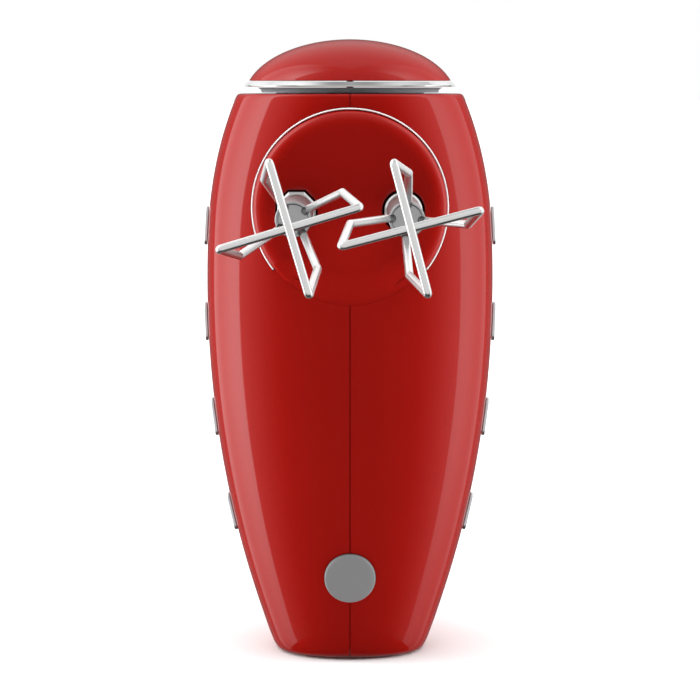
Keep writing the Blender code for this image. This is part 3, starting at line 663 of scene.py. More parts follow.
# %% The cage and its smooth skin
def skin(name, inset, finish, levels):
    """The closed skin of body and handle, drawn in by inset."""
    bm = bmesh.new()
    rows = [(FACE_Z - inset, share) for share in FACE_SHARES]
    rows += [(min(z, FACE_Z - inset - EDGE_DROP), (1.0, 1.0)) for z in BODY_ROWS]
    rows += [(z + inset, share) for z, share in HEEL_ROWS]
    rings = [[bm.verts.new(body_point(z, a, inset, share)) for a in RING_ANGLES] for z, share in rows]
    by_row = {round(z, 3): ring for (z, _), ring in zip(rows, rings)}
    for (z, _), (z_next, _), ring, following in zip(rows, rows[1:], rings, rings[1:]):
        inside = any(min(p) <= z_next and z <= max(p) for p in (FRONT_ROWS, REAR_ROWS))
        for i in range(16):
            j = (i + 1) % 16
            if not (inside and i in PATCH_COLUMNS and j in PATCH_COLUMNS):
                bm.faces.new((ring[i], ring[j], following[j], following[i]))
    bm.faces.new(rings[0])
    bm.faces.new(rings[-1])

    def patch_edge(patch):
        first, second, third, last = (by_row[z] for z in patch)
        edge = [first[c] for c in PATCH_COLUMNS] + [second[14], third[14]]
        return edge + [last[c] for c in PATCH_COLUMNS[::-1]] + [third[2], second[2]]

    loops = [patch_edge(FRONT_ROWS)]
    loops += [[bm.verts.new(p) for p in handle_ring(o, i, w, inset)] for o, i, w in HANDLE_SECTIONS]
    loops.append(patch_edge(REAR_ROWS))
    bridge(bm, loops)
    obj = settle(name, bm, finish, crease=180.0)
    smoothing = obj.modifiers.new("smooth", "SUBSURF")
    smoothing.levels = smoothing.render_levels = levels
    return combined(obj, [], "UNION")


red = finishes["housing_red"]
whole = skin("whole_skin", 0.0, red, 3)
whole_tree = BVHTree.FromPolygons(
    [v.co / MM for v in whole.data.vertices], [p.vertices for p in whole.data.polygons]
)
print("skin:", len(whole.data.polygons), "faces before cutting")


def hit(start, direction):
    """Where a ray meets the skin, and the skin's normal there, in millimetres."""
    point, normal, _, _ = whole_tree.ray_cast(Vector(start), Vector(direction).normalized())
    return point, normal


# %% [markdown]
# ## Places on the skin
# The pads, the cord inlet, the two handle strips and the side bars all sit on the skin. A ray cast
# on the smooth surface finds each spot and its normal, which is how a maker would lay a part on a
# finished shell.

# %% Spots and lines that other pieces sit on
PANEL_Y, PANEL_Z, PANEL_SLOPE = 93.0, 116.0, math.radians(5.0)
PANEL_LENGTH, PANEL_WIDTH = 54.0, 23.0
SEAM = 0.3
HEEL_Y = 1.0
pad_spot, pad_normal = hit((0, -90, 29.7), (0, 1, 0))
pad_turn = facing(pad_normal)
cord_spot, cord_normal = hit((0, 64, -40), (0, 0, 1))
cord_turn = facing(cord_normal, Vector((1, 0, 0)))


def panel_point(along, across=0.0):
    """A point of the sloping panel, counted from its middle: along runs towards the nose."""
    s, c = math.sin(PANEL_SLOPE), math.cos(PANEL_SLOPE)
    return (-across, PANEL_Y - s * along, PANEL_Z + c * along)


PANEL_TURN = Matrix((
    (-1, 0, 0),
    (0, -math.sin(PANEL_SLOPE), math.cos(PANEL_SLOPE)),
    (0, math.cos(PANEL_SLOPE), math.sin(PANEL_SLOPE)),
))


def handle_line(z_low, z_high, start_y, direction, count=45):
    """Points along the handle's middle line, found on the skin."""
    heights = [z_low + (z_high - z_low) * i / (count - 1) for i in range(count)]
    return [hit((0, start_y, z), (0, direction, 0)) for z in heights]


SHOULDER = 0.3  # how much of a band's rise is left at its long edges


def strip(name, ends, half_width, rise, sink, finish, grow=0.0):
    """A band with round ends laid along the handle, arched across, from sink below to rise above."""
    z_low, z_high, start_y, direction = ends
    line = handle_line(z_low - grow, z_high + grow, start_y, direction)
    wide, length = half_width + grow, sum((b[0] - a[0]).length for a, b in zip(line, line[1:]))
    bm = bmesh.new()
    shares = [math.cos(math.pi * i / 10) for i in range(11)]
    rings, run, last = [], 0.0, line[0][0]
    for point, normal in line:
        run += (point - last).length
        last = point
        near_end = min(run, length - run)
        half = wide * math.sqrt(max(0.03, 1 - max(0.0, 1 - near_end / wide) ** 2))
        flat = Vector((0, normal.y, normal.z)).normalized()
        arch = [(u, rise * (SHOULDER + (1 - SHOULDER) * math.sqrt(1 - u * u))) for u in shares]
        arch += [(-1, -sink), (1, -sink)]
        rings.append([bm.verts.new(point + Vector((half * u, 0, 0)) + flat * h) for u, h in arch])
    bridge(bm, rings)
    bm.faces.new(rings[0])
    bm.faces.new(rings[-1])
    return settle(name, bm, finish, crease=40.0)


INLAY = (35.0, 81.0, 150.0, -1)
GRIP = (61.0, 121.0, 50.0, 1)
print("rest pad sits at", [round(c, 1) for c in pad_spot])

# %% [markdown]
# ## Two shells with a hairline between them
# The housing is moulded as a left and a right shell. Each is the whole skin with its cavity and
# the other side taken away, then the openings. Cutting leaves slightly wrong shading round every
# edge, and on gloss it would show as dents, so each outer corner borrows the uncut skin's normal.

# %% What is cut from a shell
TRIM_FROM, TRIM_SWEEP = -38.5, 257.0
TONGUE = 1.2
SNUG, WIRE_ROOM = 0.04, 1.0
BAND_SINK = 0.9
INLAY_HALF, GRIP_HALF = 4.5, 7.0


def boss_opening(steps=240):
    """The hole's outline: snug below, and wide enough for the bright wire round the rest."""
    points = []
    for i in range(steps):
        degrees = -90 + 360 * i / steps
        inside = min(degrees - TRIM_FROM, TRIM_FROM + TRIM_SWEEP - degrees)
        share = min(1.0, max(0.0, (inside + 2.0) / 1.5))
        radius = BOSS_R + SNUG + WIRE_ROOM * share
        a = math.radians(degrees)
        points.append((radius * math.cos(a), -radius * math.sin(a)))
    return points


def slab(low, high):
    """Everything between two planes across the width."""
    return pushed("cut", [(low, -90), (high, -90), (high, 130), (low, 130)], -10, 230, red)


def rod(radius, low, high, finish, origin, turn, steps=64):
    """A plain round cutter."""
    ends = [(0, low), (radius, low), (radius, high), (0, high)]
    return spun("cut", ends, finish, origin, turn, steps)


def seam_cutters(side):
    """The far side of the seam. The right shell keeps a tongue that lies in the left one's groove."""
    if side > 0:
        lip = combined(slab(-TONGUE - 0.1, SEAM / 2), [skin("cut", 1.5, red, 2)], "DIFFERENCE")
        return [slab(-80, -TONGUE), lip]
    groove = combined(slab(-TONGUE - 0.3, 0.0), [skin("cut", 1.3, red, 2)], "INTERSECT")
    return [slab(-SEAM / 2, 80), groove]


def shell_cutters(side):
    """Cavity, seam, boss, nose, eject button, rest pad, cord inlet, heel, panel and bands."""
    panel = stadium(PANEL_LENGTH + 2 * SEAM, PANEL_WIDTH + 2 * SEAM, 9.3)
    return [
        skin("cut", CAVITY_INSET, red, 1),
        *seam_cutters(side),
        pushed("cut", boss_opening(), -17, 24, red, (0, BOSS_FACE, BOSS_Z), ALONG_Y),
        rod(26, -12, 8, red, (0, 0, FACE_Z), ALONG_Z),
        rod(8.45, 66, 106, red, (0, 0, SOCKET_Z), ALONG_Y),
        rod(8.85, -1.1, 9, red, pad_spot, pad_turn),
        rod(5.2, -9, 9, red, cord_spot, cord_turn, 48),
        pushed("cut", stadium(36.6, 38.6, 14.3), -3, 1.9, red, (0, HEEL_Y, 0)),
        pushed("cut", panel, -6.5, 9, red, panel_point(0), PANEL_TURN),
        *(
            strip("cut", line, half, 3.0, BAND_SINK + SEAM, red, 0.2)
            for line, half in ((INLAY, INLAY_HALF), (GRIP, GRIP_HALF))
        ),
    ]


# %% Borrowing the uncut skin's normals
ALIKE = 0.96  # two normals whose dot product is higher belong to the same surface


def borrow_normals(piece, tree, mesh, within=0.03):
    """Faces that lie on the smooth mesh take its normals; the rest keep their own."""
    points = [v.co / MM for v in mesh.vertices]
    normals = [v.normal.copy() for v in mesh.vertices]
    polygons = [tuple(p.vertices) for p in mesh.polygons]
    target = piece.data
    custom = [n.vector.copy() for n in target.corner_normals]
    for face in target.polygons:
        _, normal, _, distance = tree.find_nearest(face.center / MM)
        if distance > within or face.normal.dot(normal) < ALIKE:
            continue
        for corner in face.loop_indices:
            vertex = target.vertices[target.loops[corner].vertex_index].co / MM
            place, normal, index, _ = tree.find_nearest(vertex)
            around = polygons[index]
            weights = poly_3d_calc([points[i] for i in around], place)
            mixed = sum((normals[i] * w for i, w in zip(around, weights)), Vector())
            custom[corner] = mixed.normalized()
    target.normals_split_custom_set(custom)


# %% Both shells
for name, side in (("housing_left", -1), ("housing_right", 1)):
    shell = bpy.data.objects.new(name + "_shell", whole.data.copy())
    bpy.context.scene.collection.objects.link(shell)
    combined(shell, shell_cutters(side), "DIFFERENCE")
    creased(shell, 30.0)
    borrow_normals(shell, whole_tree, whole.data)
    place_piece(shell, "housing", "housing_red", name)

# %% [markdown]
# ## The boss the beaters plug into
# A round cup stands proud under the nose. Its rim rolls over into a groove that holds a bright
# wire, but below the wire's ends it melts into the belly without a step. A spun shape can't do
# both, so the face is a polar grid whose height is worked out for each angle.

# %% Height of the boss's face
ROLL, ROLL_DROP = 5.2, 3.6
MELT = 11.0
MELTED_WITHIN, SHARP_BEYOND = 34.0, 54.0
CUP_WALL, CUP_FLOOR = 2.4, 3.4
SPOKES, MELT_RINGS = 180, 22
MOUTH_R = 7.4


def eased(value, low, high):
    share = min(1.0, max(0.0, (value - low) / (high - low)))
    return share * share * (3 - 2 * share)


def melt_share(degrees):
    """0 where the wire runs and 1 at the bottom, where the rim melts into the belly."""
    below = abs((degrees + 90 + 180) % 360 - 180)
    return 1 - eased(below, MELTED_WITHIN, SHARP_BEYOND)


def boss_height(radius, degrees):
    """How far along Y the face lies, from the flat middle out to the rim."""
    a = math.radians(degrees)
    rolled = BOSS_FACE
    over = radius - (BOSS_R - ROLL)
    if over > 0:
        rolled += ROLL_DROP * (1 - math.sqrt(max(0.0, 1 - (over / ROLL) ** 2)))
    share = melt_share(degrees)
    if share == 0:
        return rolled
    x, z = radius * math.cos(a), BOSS_Z + radius * math.sin(a)
    belly = hit((x, -90, z), (0, 1, 0))[0].y
    melted = BOSS_FACE + (belly - BOSS_FACE) * eased(radius, BOSS_R - MELT, BOSS_R + 0.1)
    return rolled + (melted - rolled) * share


# %% The cup with its two sockets
def polar_ring(bm, radius, height):
    """Vertices all round at one radius, each at the height along Y that its angle gives."""
    angles = [360 * i / SPOKES for i in range(SPOKES)]
    places = [(math.cos(math.radians(d)), math.sin(math.radians(d)), d) for d in angles]
    return [
        bm.verts.new((radius * c, height(radius, d), BOSS_Z + radius * s)) for c, s, d in places
    ]


def build_boss():
    bm = bmesh.new()
    radii = [3, 8, 13, 17, 20]
    radii += [round(BOSS_R - MELT + MELT * i / MELT_RINGS, 3) for i in range(MELT_RINGS + 1)]
    rings = [polar_ring(bm, r, boss_height) for r in sorted(set(radii))]
    inside = BOSS_FACE + CUP_FLOOR
    for radius, height in (
        (BOSS_R, lambda r, d: max(boss_height(r, d) + 0.4, inside + 0.5)),
        (BOSS_R, lambda r, d: BOSS_BACK),
        (BOSS_R - CUP_WALL, lambda r, d: BOSS_BACK),
        (BOSS_R - CUP_WALL, lambda r, d: inside),
        (radii[0], lambda r, d: inside),
    ):
        rings.append(polar_ring(bm, radius, height))
    bridge(bm, rings)
    bm.faces.new(rings[0])
    bm.faces.new(rings[-1])
    return settle("beater_boss_cup", bm, red, crease=50.0)


def on_socket(obj, x, y, turn):
    """Stands a shape that was spun about Z on a socket's line, after a turn about that line."""
    place = Matrix.Translation(Vector((x, y, SOCKET_Z)) * MM) @ ALONG_Y.to_4x4()
    obj.data.transform(place @ Matrix.Rotation(turn, 4, "Z"))
    return obj


boss = build_boss()
flare = [(0, -3), (MOUTH_R + 0.55, -3), (MOUTH_R + 0.55, -0.05)]
flare += [*fillet((MOUTH_R + 0.75, 0.75), 0.75, 270, 180, 5)[1:], (MOUTH_R, 9), (0, 9)]
octagon = spun("cut", flare, red, (0, 0, 0), ALONG_Z, 8)
on_socket(octagon, -SOCKET_X, BOSS_FACE, math.radians(22.5))
round_flare = [(r - 0.4, h) if r else (r, h) for r, h in flare]
round_cut = spun("cut", round_flare, red, (SOCKET_X, BOSS_FACE, SOCKET_Z), ALONG_Y, 96)
combined(boss, [octagon, round_cut], "DIFFERENCE")
creased(boss, 40.0)
borrow_normals(boss, whole_tree, whole.data, 0.05)
place_piece(boss, "housing", "housing_red", "beater_boss")

# %% [markdown]
# ## The bright wire round the boss
# A thin wire lies in the groove and follows the skin up and down as it goes round. It is drawn
# along points found by rays, with rounded ends.

# %% Wire in the groove
TRIM_R, TRIM_WIRE_R = BOSS_R + 0.6, 0.31
trim_points = []
for i in range(161):
    a = math.radians(TRIM_FROM + TRIM_SWEEP * i / 160)
    x, z = TRIM_R * math.cos(a), BOSS_Z + TRIM_R * math.sin(a)
    outside, _ = hit((x * 1.02, -90, BOSS_Z + (z - BOSS_Z) * 1.02), (0, 1, 0))
    trim_points.append((x, outside.y - 0.1, z))
trim = drawn("boss_trim_wire", trim_points, TRIM_WIRE_R, trim_plating, 14)
place_piece(trim, "housing", "chrome", "boss_trim")

# %% [markdown]
# ## Neck, ring and nose
# The nose is a shallow red dome on a bright plate, with a dark waist below it. All three are
# turned about the same axis, so each is one spun profile, and the small fillets between flats are
# what catches the light.

# %% Spun pieces of the nose
BORE = 1.6
WAIST_R, WAIST_FLARE = 30.4, 1.3
face = (0, 0, FACE_Z)
waist = [(BORE, -3), (25.4, -3), (25.4, 0.3), (WAIST_R, 0.3)]
waist += [(WAIST_R + WAIST_FLARE * (i / 8) ** 2.4, 0.5 + 1.5 * i / 8) for i in range(9)]
# The waist's grey is lightened: painted light against the shade the plate casts on it.
neck = spun("nose_waist", waist + [(BORE, 2.0)], waist_grey, face, ALONG_Z, 128)
place_piece(neck, "housing", "dark_grey", "nose_neck")

plate = [(BORE, 2.3), *fillet((36.0, 2.5), 0.2, 270, 360, 4), (36.2, 2.8)]
plate += [*fillet((34.9, 3.75), 0.25, 40, 90, 4), (BORE, 4.0)]
nose_ring = spun("nose_plate", plate, ring_plating, face, ALONG_Z, 160)
place_piece(nose_ring, "housing", "chrome", "nose_ring")

# %% The dome over the plate
CAP_BASE, CAP_CENTRE = 4.3, -2.1
DOME_INSIDE, DOME_OUTSIDE = (34.1, 18.2), (36.5, 20.6)


def dome_arc(radius, height, steps):
    """Half of the dome's outline, from just over its rim almost to the axis."""
    start = math.asin((CAP_BASE + 0.25 - CAP_CENTRE) / height)
    turns = [start + (math.pi / 2 - start) * i / steps for i in range(steps)]
    return [(radius * math.cos(a), CAP_CENTRE + height * math.sin(a)) for a in turns]


inner, outer = dome_arc(*DOME_INSIDE, 16), dome_arc(*DOME_OUTSIDE, 40)
inner[0] = (inner[0][0], CAP_BASE)
lip = [(outer[0][0] - 0.22, CAP_BASE), (outer[0][0] - 0.05, CAP_BASE + 0.08)]
post = [(0, 12), (1.5, 12), (1.5, CAP_BASE), (4.2, CAP_BASE), (4.2, CAP_CENTRE + 18.1)]
profile = post + inner[::-1] + lip + outer + [(0, CAP_CENTRE + DOME_OUTSIDE[1])]
dome = spun("nose_dome", profile, red, face, ALONG_Z, 160)
place_piece(dome, "housing", "housing_red", "nose_cap")

# %% [markdown]
# ## Bars along the sides
# Four plated bars stand on each flank. They are plain on purpose. Each is a rounded outline
# pushed out along the skin's normal, with a fine rim and a shallow foot.

# %% Side bars where the CAD has them
for label, side in (("left", -1), ("right", 1)):
    for number in range(1, 5):
        node = f"side_bar_{label}_{number}"
        low, high = node_box(node)
        spot, normal = hit((side * 90, 0, (low.z + high.z) / 2), (-side, 0, 0))
        bar = pushed(
            node + "_plated", stadium(13.4, 5.0, 2.3), 0.15, 1.2, bar_plating,
            spot, facing(normal), rim=0.45, foot=0.12,
        )
        place_piece(bar, "housing", "chrome", node)

# %% [markdown]
# ## Pads
# A round rubber pad on the belly keeps the mixer level when it lies down, and a ribbed pad closes
# the heel that it stands on. The rest pad is slightly domed with a soft edge; the heel pad's ribs
# are repeated by a small node tree.

# %% Rest pad
disc = [(0, -0.8), (8.5, -0.8), (8.6, -0.6), (8.6, 0.35), *fillet((8.0, 0.45), 0.6, 10, 80, 6)]
disc += [(r, 1.2 + 0.12 * (1 - (r / 7.9) ** 2)) for r in (7.2, 6.0, 4.5, 2.5)] + [(0, 1.32)]
pad = spun("rest_pad_disc", disc, finishes["pad_grey"], pad_spot, pad_turn, 96)
place_piece(pad, "housing", "pad_grey", "rest_pad")

# %% Heel pad with ribs
RIB_COUNT, RIB_PITCH, RIB_HEIGHT = 9, 3.6, 0.6
heel_outline = stadium(36.0, 38.0, 14.0)
heel = pushed(
    "heel_pad_ribbed", heel_outline, 0.45, 1.5, finishes["pad_grey"], (0, HEEL_Y, 0), foot=0.2
)
ribs = Grower("heel_ribs", {
    "Ribs": RIB_COUNT, "Pitch": RIB_PITCH * MM,
    "Width": 1.5 * MM, "Length": 24.0 * MM, "Height": RIB_HEIGHT * MM,
})
size = ribs.vector(*(ribs.given(key) for key in ("Length", "Width", "Height")))
rib = ribs.add("GeometryNodeMeshCube", {"Size": size})
first_y = HEEL_Y - RIB_PITCH * (RIB_COUNT - 1) / 2
rib_line = ribs.add("GeometryNodeMeshLine", {
    "Count": ribs.given("Ribs"),
    "Start Location": (0, first_y * MM, RIB_HEIGHT / 2 * MM),
    "Offset": ribs.vector(y=ribs.given("Pitch")),
})
joined(heel, [ribs.grow("heel_ribs", ribs.repeated(rib_line, rib), finishes["pad_grey"])])
place_piece(heel, "housing", "pad_grey", "heel_pad")

# %% [markdown]
# ## Handle: inlay and grip
# A bright inlay runs down the back of the handle and a rubber grip lies under it, where the
# fingers go. Both follow the skin's middle line. The grip's ribs are one small bar repeated along
# a curve by a node tree, so their number and size are two named inputs.

# %% Inlay
chrome = finishes["chrome"]
inlay = strip("handle_inlay_band", INLAY, INLAY_HALF, 0.6, BAND_SINK, chrome)
place_piece(inlay, "housing", "chrome", "handle_inlay")


# %% Grip with ribs along its line
def curve_through(name, points):
    """A poly curve through points in millimetres."""
    curve = bpy.data.curves.new(name, "CURVE")
    curve.dimensions = "3D"
    spline = curve.splines.new("POLY")
    spline.points.add(len(points) - 1)
    for slot, point in zip(spline.points, points):
        slot.co = (*(Vector(point) * MM), 1)
    obj = bpy.data.objects.new(name, curve)
    bpy.context.scene.collection.objects.link(obj)
    return obj


rubber = finishes["grip_grey"]
grip = strip("handle_grip_rubber", GRIP, GRIP_HALF, 0.55, BAND_SINK, rubber)
RIBBED = (65.5, 116.5)
grip_line = handle_line(*RIBBED, 50.0, 1)
guide_points = [p + Vector((0, n.y, n.z)).normalized() * 0.45 for p, n in grip_line]
guide = curve_through("grip_guide", guide_points)
grip_net = Grower("grip_ribs", {"Ribs": 19, "Length": 9.6 * MM, "Thick": 0.55 * MM})
on_skin = grip_net.add(
    "GeometryNodeObjectInfo", {"Object": guide}, "Geometry", transform_space="ORIGINAL"
)
inputs = {"Curve": on_skin, "Count": grip_net.given("Ribs")}
stations = grip_net.add("GeometryNodeResampleCurve", inputs, mode="COUNT")
half = grip_net.given("Length") * 0.5
inputs = {"Start": grip_net.vector(half), "End": grip_net.vector(half * -1.0)}
across = grip_net.add("GeometryNodeCurvePrimitiveLine", inputs)
bar = grip_net.tube(across, grip_net.given("Thick"), 10)
joined(grip, [grip_net.grow("grip_ribs", grip_net.repeated(stations, bar), rubber)])
bpy.data.objects.remove(guide)
place_piece(grip, "housing", "grip_grey", "handle_grip")

# %% [markdown]
# ## Controls on the handle
# A silver panel carries a dark window, a slide that switches the mixer on, and three keys. The
# keys move, so each is its own piece in its own hole. Two of them carry a plain minus and a plain
# plus, and the third is plain red.


# %% Panel with its holes
def on_panel(name, outline, low, high, finish, along, across=0.0, rim=0.0):
    return pushed(name, outline, low, high, finish, panel_point(along, across), PANEL_TURN, rim)


silver = finishes["panel_silver"]
LOW, HIGH = -2.2, 1.4
WINDOW_ALONG, SLOT_ALONG, KEYS_ALONG = 15.5, -2.5, -17.5
KEYS_ACROSS, TURBO_ACROSS = 6.2, 7.4
KEY_R, TURBO_R, KEY_GAP = 3.5, 3.0, 0.25
panel = on_panel(
    "control_panel_plate", stadium(PANEL_LENGTH, PANEL_WIDTH, 9), LOW, HIGH, silver, 0, 0, 0.8
)
holes = [
    on_panel("cut", outline, -5, 9, silver, along, across)
    for outline, along, across in (
        (stadium(13.4, 15.4, 3.2), WINDOW_ALONG, 0.0),
        (stadium(13.6, 5.6, 2.7), SLOT_ALONG, 0.0),
        (circle(KEY_R + KEY_GAP), KEYS_ALONG, -KEYS_ACROSS),
        (circle(KEY_R + KEY_GAP), KEYS_ALONG, KEYS_ACROSS),
        (circle(TURBO_R + KEY_GAP), SLOT_ALONG, TURBO_ACROSS),
    )
]
combined(panel, holes, "DIFFERENCE")
place_piece(creased(panel), "housing", "panel_silver", "control_panel")
window = on_panel(
    "display_window", stadium(13.0, 15.0, 3), LOW, HIGH + 0.1, finishes["lens_dark"],
    WINDOW_ALONG, 0, 0.35,
)
place_piece(window, "housing", "lens_dark", "display_lens")


# %% Keys
KEY_STANDS, KEY_DISH = 1.3, 0.22


def key(name, radius, along, across, finish, marks):
    """A round key with a dished top, and bars across it for its mark."""
    top = HIGH + KEY_STANDS
    side = [(0, LOW), (radius, LOW), (radius, top - 0.5)]
    side += fillet((radius - 0.5, top - 0.5), 0.5, 0, 90, 5)
    dish = [(r * radius, top - KEY_DISH * (1 - (r / 0.8) ** 2)) for r in (0.8, 0.6, 0.4, 0.2)]
    profile = side + dish + [(0, top - KEY_DISH)]
    made = spun(name, profile, finish, panel_point(along, across), PANEL_TURN, 64)
    bars = [
        on_panel(
            "mark", stadium(long, wide, min(long, wide) * 0.45, 4), top - 0.6, top + 0.02, finish,
            along, across, 0.08,
        )
        for long, wide in marks
    ]
    return creased(combined(made, bars, "UNION")) if bars else made


ACROSS, ALONG = (0.7, 3.2), (3.2, 0.7)
for label, radius, along, across, finish, slot, marks in (
    ("minus", KEY_R, KEYS_ALONG, -KEYS_ACROSS, chrome, "chrome", [ACROSS]),
    ("plus", KEY_R, KEYS_ALONG, KEYS_ACROSS, chrome, "chrome", [ACROSS, ALONG]),
    ("turbo", TURBO_R, SLOT_ALONG, TURBO_ACROSS, red, "housing_red", []),
):
    cap = key(f"{label}_key_cap", radius, along, across, finish, marks)
    place_piece(cap, f"{label}_key", slot, f"{label}_button")

# %% [markdown]
# The slide's slot is longer than its knob, so a thin skirt travels with the knob under the panel
# and keeps the slot closed. Four small ridges give the thumb a hold.

# %% Slide with its skirt
KNOB_ALONG = SLOT_ALONG - 3.0
RIDGE_PITCH = 1.3
SKIRT_LENGTH, SKIRT_WIDTH = 19.6, 6.4
SKIRT_UNDER = (LOW - 1.1, LOW - 0.3)
knob_outline, ridge = stadium(7.0, 5.0, 2.4), stadium(0.7, 3.6, 0.3, 4)
slide = on_panel(
    "power_slide_knob", knob_outline, LOW - 0.6, HIGH + 0.7, chrome, KNOB_ALONG, 0, 0.3
)
added = [
    on_panel("ridge", ridge, HIGH, HIGH + 1.4, chrome, KNOB_ALONG + RIDGE_PITCH * i, 0, 0.2)
    for i in (-1.5, -0.5, 0.5, 1.5)
]
skirt = stadium(SKIRT_LENGTH, SKIRT_WIDTH, 1.0)
added.append(on_panel("skirt", skirt, *SKIRT_UNDER, chrome, KNOB_ALONG))
combined(slide, added, "UNION")
place_piece(creased(slide), "power_switch", "chrome", "power_slide")

# %% [markdown]
# ## Eject button and cord inlet
# The button stands out of the handle's front end, in line with the beaters, and its top is dished
# for a thumb. The inlet at the heel end of the handle is a moulded ring with an open mouth.

# %% Eject button
BUTTON_R, BUTTON_DISH = 8.1, 0.9
button = [(0, 78.4), (8.0, 78.4), (BUTTON_R, 78.6), (BUTTON_R, 91.6)]
button += fillet((BUTTON_R - 1.2, 91.6), 1.2, 0, 80, 8)
button += [(r, 93.05 - BUTTON_DISH * (1 - (r / 6.4) ** 2)) for r in (6.2, 5.0, 3.5, 2.0)]
button += [(0, 93.05 - BUTTON_DISH)]
knob = spun("eject_button_knob", button, chrome, (0, 0, SOCKET_Z), ALONG_Y, 96)
place_piece(knob, "ejector", "chrome", "eject_button")

# %% Cord inlet
mouth = [(2.8, -6), (4.9, -6), (4.9, 0.3), (6.2, 0.4), *fillet((6.1, 1.0), 0.3, 0, 60, 3), (5.5, 3.0)]
mouth += [*fillet((4.9, 2.9), 0.5, 20, 100, 4), (3.4, 3.2), (2.9, 2.6)]
inlet = spun("cord_inlet_ring", mouth, finishes["dark_grey"], cord_spot, cord_turn, 48)
place_piece(inlet, "housing", "dark_grey", "cord_inlet")

# %% [markdown]
# ## Beaters
# Each beater is a steel shank with a collar, a cast hub, and two wires bent like open books that
# cross at the tip. The bends decide how it looks end-on, so the wires follow the same corners as
# the CAD, with tighter rounding. The left collar is eight-sided, so it fits only its own socket.

# %% Corners of a wire, and their rounding
BEATER_ANGLE, BEATER_TWIST = 15.6, 19.0
LOOPS = {
    "left": ((19.4, 23.3), (16.7, 22.1)),
    "right": ((18.9, 22.8), (16.5, 21.7)),
}
BEND_Y, SEAT_R, WIRE_R, HUB_R, SHANK_R = -135.5, 4.6, 1.25, 5.7, 3.0
CORNER_PULL, CORNER_R = 2.6, 1.0
SEAT_ROOM = 0.12


def around(x, radius, degrees, y):
    a = math.radians(degrees)
    return Vector((x + radius * math.cos(a), y, SOCKET_Z + radius * math.sin(a)))


def rounded_path(corners, pull, steps=9):
    """The corner points, each inner corner replaced by an arc whose centre is pulled inwards.

    A slerp gives unit vectors, so every arc has a radius of one millimetre, CORNER_R.
    """
    path = [Vector(corners[0])]
    for before, corner, after in zip(corners, corners[1:], corners[2:]):
        before, corner, after = Vector(before), Vector(corner), Vector(after)
        back, ahead = (before - corner).normalized(), (after - corner).normalized()
        half = back.angle(ahead) / 2
        room = min((before - corner).length, (after - corner).length)
        reach = min(pull / math.tan(half), 0.45 * room)
        centre = corner + (back + ahead).normalized() * (reach / math.cos(half))
        start, end = corner + back * reach - centre, corner + ahead * reach - centre
        path += [centre + start.slerp(end, i / steps) for i in range(steps + 1)]
    return path + [Vector(corners[-1])]


# %% Hub, collar, shank and wires of one beater
COLLAR_Y = -47.0


def build_hub(label, x, twist):
    end, cast = HUB_END, finishes["cast_grey"]
    profile = [(0, end + 0.75), (HUB_R - 1.15, end + 0.75)]
    profile += fillet((HUB_R - 0.55, end + 0.45), 0.45, 215, 360, 8)
    profile += [(HUB_R - 0.1, -50.6), *fillet((HUB_R - 0.7, -50.6), 0.6, 0, 90, 5)]
    profile += [(4.4, -50.0), (4.4, -48.4), *fillet((4.1, -48.1), 0.3, 0, 90, 3)]
    profile += [(SHANK_R + 0.3, -47.8), (SHANK_R + 0.3, -70), (0, -70)]
    hub = spun(f"beater_{label}_hub_cast", profile, cast, (x, 0, SOCKET_Z), ALONG_Y, 72)
    angles = [BEATER_ANGLE + twist + 90 * quarter for quarter in range(4)]
    seats = [
        rod(WIRE_R + SEAT_ROOM, -3, 8, cast, around(x, SEAT_R, angle, end), ALONG_Y, 28)
        for angle in angles
    ]
    return creased(combined(hub, seats, "DIFFERENCE"))


def build_shank(label, x, sides):
    """Shank and collar. An eight-sided collar is measured across its flats."""
    profile = [(0, -69), (SHANK_R, -69), (SHANK_R, -7.9)]
    profile += [*fillet((SHANK_R - 1.0, -7.2), 1.0, 0, 90, 5), (0, -6.2)]
    name = f"beater_{label}_shank_steel"
    shank = spun(name, profile, finishes["steel"], (x, 0, SOCKET_Z), ALONG_Y, 48)
    rim = [(0, COLLAR_Y - 0.2), (4.5, COLLAR_Y - 0.2), (4.7, COLLAR_Y), (4.9, -46.6)]
    rim += [(5.1, COLLAR_Y), (5.25, COLLAR_Y - 0.2), (5.7, COLLAR_Y - 0.2)]
    rim += [(6.25, -46.7), (6.3, -46.4), (6.3, -41.9), (6.0, -41.5), (0, -41.5)]
    stretch = 1 / math.cos(math.pi / 8) if sides == 8 else 1.0
    rim = [(r * stretch, h) for r, h in rim]
    collar = spun("add", rim, finishes["cast_grey"], (0, 0, 0), ALONG_Z, sides, 20.0)
    on_socket(collar, x, 0, math.pi / sides)
    return creased(combined(shank, [collar], "UNION"), 25.0)


def build_beater(label, x, twist, collar_sides):
    body = f"beater_{label}"
    place_piece(build_shank(label, x, collar_sides), body, "steel", f"beater_{label}_shank")
    place_piece(build_hub(label, x, twist), body, "cast_grey", f"beater_{label}_hub")
    crossing = 2 * WIRE_R + 0.3
    tip_line = TIP_Y + WIRE_R - (CORNER_PULL - CORNER_R)
    inner, outer = LOOPS[label]
    for kind, first, radii, tip_y in (
        ("inner_loop", 0, inner, tip_line + crossing),
        ("outer_loop", 90, outer, tip_line),
    ):
        corners = []
        for half_turn in (0, 180):
            tip = BEATER_ANGLE + first + half_turn
            arm = [
                around(x, SEAT_R, tip + twist, HUB_END + 7),
                around(x, SEAT_R, tip + twist, HUB_END - 1.5),
                around(x, radii[0], tip + twist, BEND_Y),
                around(x, radii[1], tip, tip_y),
            ]
            corners += arm if half_turn == 0 else arm[::-1]
        path = rounded_path(corners, CORNER_PULL)
        wire = drawn(f"beater_{label}_{kind}_wire", path, WIRE_R, finishes["steel"], 24)
        wire.visible_glossy = False
        place_piece(wire, body, "steel", f"beater_{label}_{kind}")


